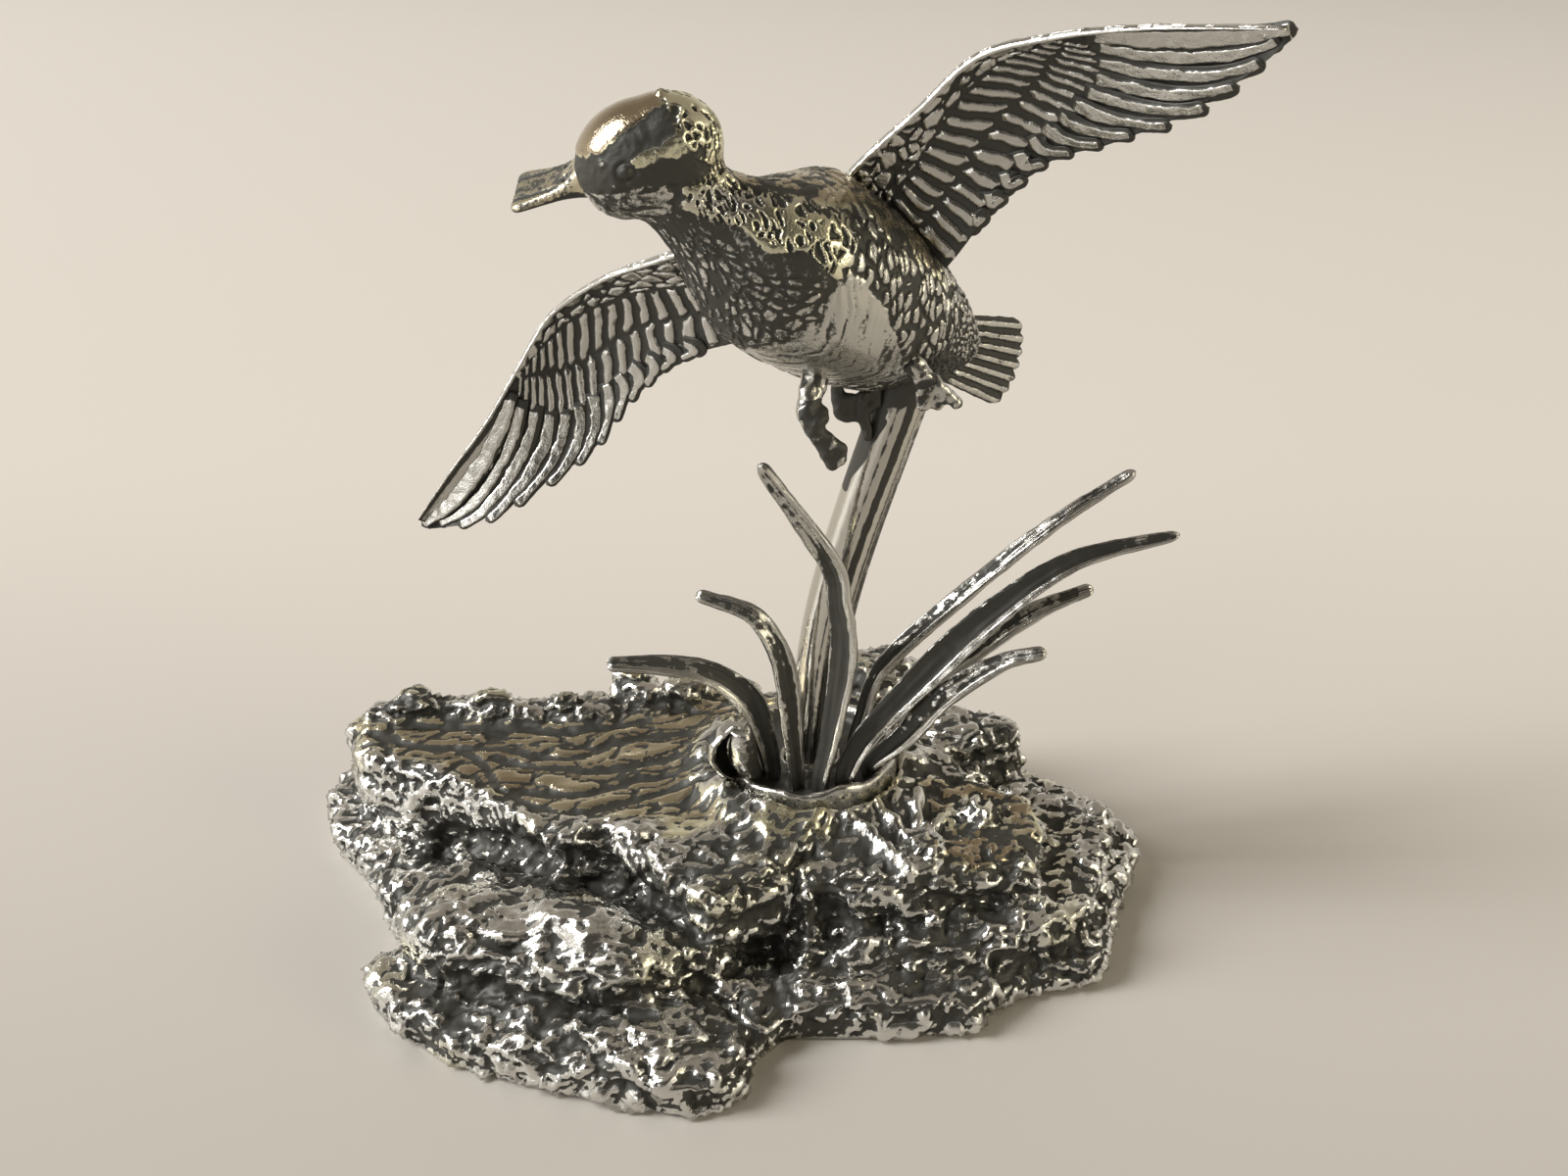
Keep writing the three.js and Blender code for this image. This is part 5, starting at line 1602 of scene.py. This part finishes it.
def room(world):
    """Pale warm walls round the table, browner overhead and dark behind the viewer."""
    tree = empty_tree(world)
    way = add(tree, "ShaderNodeTexCoord").outputs["Generated"]
    viewer = add(
        tree,
        "ShaderNodeVectorMath",
        {"operation": "DOT_PRODUCT"},
        values={1: TOWARDS_VIEWER},
        links={0: way},
    ).outputs["Value"]
    dark = add(
        tree,
        "ShaderNodeMapRange",
        SOFT_STEP,
        values={"From Min": 0.64, "From Max": 0.93},
        links={"Value": viewer},
    ).outputs["Result"]
    height = add(tree, "ShaderNodeSeparateXYZ", links={"Vector": way}).outputs["Z"]
    high = add(
        tree,
        "ShaderNodeMapRange",
        SOFT_STEP,
        values={"From Min": 0.05, "From Max": 0.8},
        links={"Value": height},
    ).outputs["Result"]
    walls = add(
        tree,
        "ShaderNodeMix",
        COLOURS,
        values={COLOUR_FROM: (*linear(WALL), 1), COLOUR_TO: (*linear(OVERHEAD), 1)},
        links={MIX_SHARE: high},
    ).outputs[COLOUR_RESULT]
    light = add(
        tree,
        "ShaderNodeMix",
        COLOURS,
        values={COLOUR_TO: (*linear(BEHIND_VIEWER), 1)},
        links={MIX_SHARE: dark, COLOUR_FROM: walls},
    ).outputs[COLOUR_RESULT]
    glow = add(tree, "ShaderNodeBackground", values={"Strength": 1.0}, links={"Color": light})
    add(tree, "ShaderNodeOutputWorld", links={"Surface": glow.outputs["Background"]})


class FIGURINE_OT_stage(bpy.types.Operator):
    """Sets the table, the lamps and the camera"""

    bl_idname = "figurine.stage"
    bl_label = "Stage"

    def execute(self, context):
        stage = context.scene.figurine_stage
        select_nothing()
        bpy.ops.mesh.primitive_plane_add(size=stage.floor_size, location=(0, 0, -FLOOR_GAP * MM))
        floor = context.object
        floor.name = "floor"
        floor.data.materials.append(self.table(stage.floor))
        for name, values in LAMPS.items():
            lamp(name, *values)
        scene = context.scene
        scene.world = bpy.data.worlds.new("room")
        room(scene.world)
        camera = bpy.data.cameras.new("camera")
        camera.lens = CAMERA_LENS
        camera.sensor_width = CAMERA_SENSOR
        camera.clip_start = 5 * MM
        camera.clip_end = 20
        view = bpy.data.objects.new("camera", camera)
        view.location = Vector(CAMERA_PLACE) * MM
        view.rotation_euler = (math.radians(90 - CAMERA_PITCH), 0, 0)
        scene.collection.objects.link(view)
        scene.camera = view
        scene.view_settings.view_transform = "Standard"
        return {"FINISHED"}

    def table(self, tone):
        """A lacquered white table: pale, with a soft sheen, and with painted shade nearest the viewer that
        gives way to its own tone towards the far side.
        """
        material = bpy.data.materials.new("Lacquered table")
        tree = empty_tree(material)
        place = add(tree, "ShaderNodeTexCoord").outputs["Object"]
        cloud = add(
            tree,
            "ShaderNodeTexNoise",
            values={"Scale": 1 / (CLOUD_SIZE * MM), "Detail": 2.0},
            links={"Vector": place},
        ).outputs["Fac"]
        # Painted shade: the table darkens towards the viewer
        depth = add(tree, "ShaderNodeSeparateXYZ", links={"Vector": place}).outputs["Y"]
        far = add(
            tree,
            "ShaderNodeMapRange",
            SOFT_STEP,
            values={"From Min": -0.12, "From Max": 0.12},
            links={"Value": depth},
        ).outputs["Result"]
        painted_near_shade = [NEAR_SHADE * value for value in tone]
        colours = add(
            tree,
            "ShaderNodeMix",
            COLOURS,
            values={COLOUR_FROM: (*painted_near_shade, 1), COLOUR_TO: (*tone, 1)},
            links={MIX_SHARE: far},
        ).outputs[COLOUR_RESULT]
        roughness = add(
            tree,
            "ShaderNodeMix",
            NUMBERS,
            values={NUMBER_FROM: 0.4, NUMBER_TO: 0.46},
            links={MIX_SHARE: cloud},
        ).outputs[NUMBER_RESULT]
        shader = add(
            tree,
            "ShaderNodeBsdfPrincipled",
            links={"Base Color": colours, "Roughness": roughness},
        )
        add(tree, "ShaderNodeOutputMaterial", links={"Surface": shader.outputs["BSDF"]})
        return material


class FIGURINE_PT_panel(bpy.types.Panel):
    """Lists the settings and the pieces in the sidebar"""

    bl_idname = "FIGURINE_PT_panel"
    bl_label = "Flying duck figurine"
    bl_space_type = "VIEW_3D"
    bl_region_type = "UI"
    bl_category = "Figurine"

    def draw(self, context):
        for group, kind in GROUPS.items():
            for name in kind.__annotations__:
                self.layout.prop(getattr(context.scene, group), name)
        for operator in OPERATORS:
            self.layout.operator(operator.bl_idname)


GROUPS = {
    "figurine_finish": FigurineFinish,
    "figurine_relief": FigurineRelief,
    "figurine_stage": FigurineStage,
}
OPERATORS = (
    FIGURINE_OT_rock,
    FIGURINE_OT_rod,
    FIGURINE_OT_collar,
    FIGURINE_OT_reeds,
    FIGURINE_OT_curled_leaf,
    FIGURINE_OT_body,
    FIGURINE_OT_bill,
    FIGURINE_OT_tail,
    FIGURINE_OT_wings,
    FIGURINE_OT_legs,
    FIGURINE_OT_stage,
)


def register():
    for group in (*GROUPS.values(), *OPERATORS, FIGURINE_PT_panel):
        bpy.utils.register_class(group)
    for name, group in GROUPS.items():
        setattr(bpy.types.Scene, name, PointerProperty(type=group))


def unregister():
    for name in GROUPS:
        delattr(bpy.types.Scene, name)
    for group in (FIGURINE_PT_panel, *OPERATORS, *GROUPS.values()):
        bpy.utils.unregister_class(group)


def main():
    register()
    for operator in OPERATORS:
        family, name = operator.bl_idname.split(".")
        getattr(getattr(bpy.ops, family), name)()


if __name__ == "__main__":
    main()
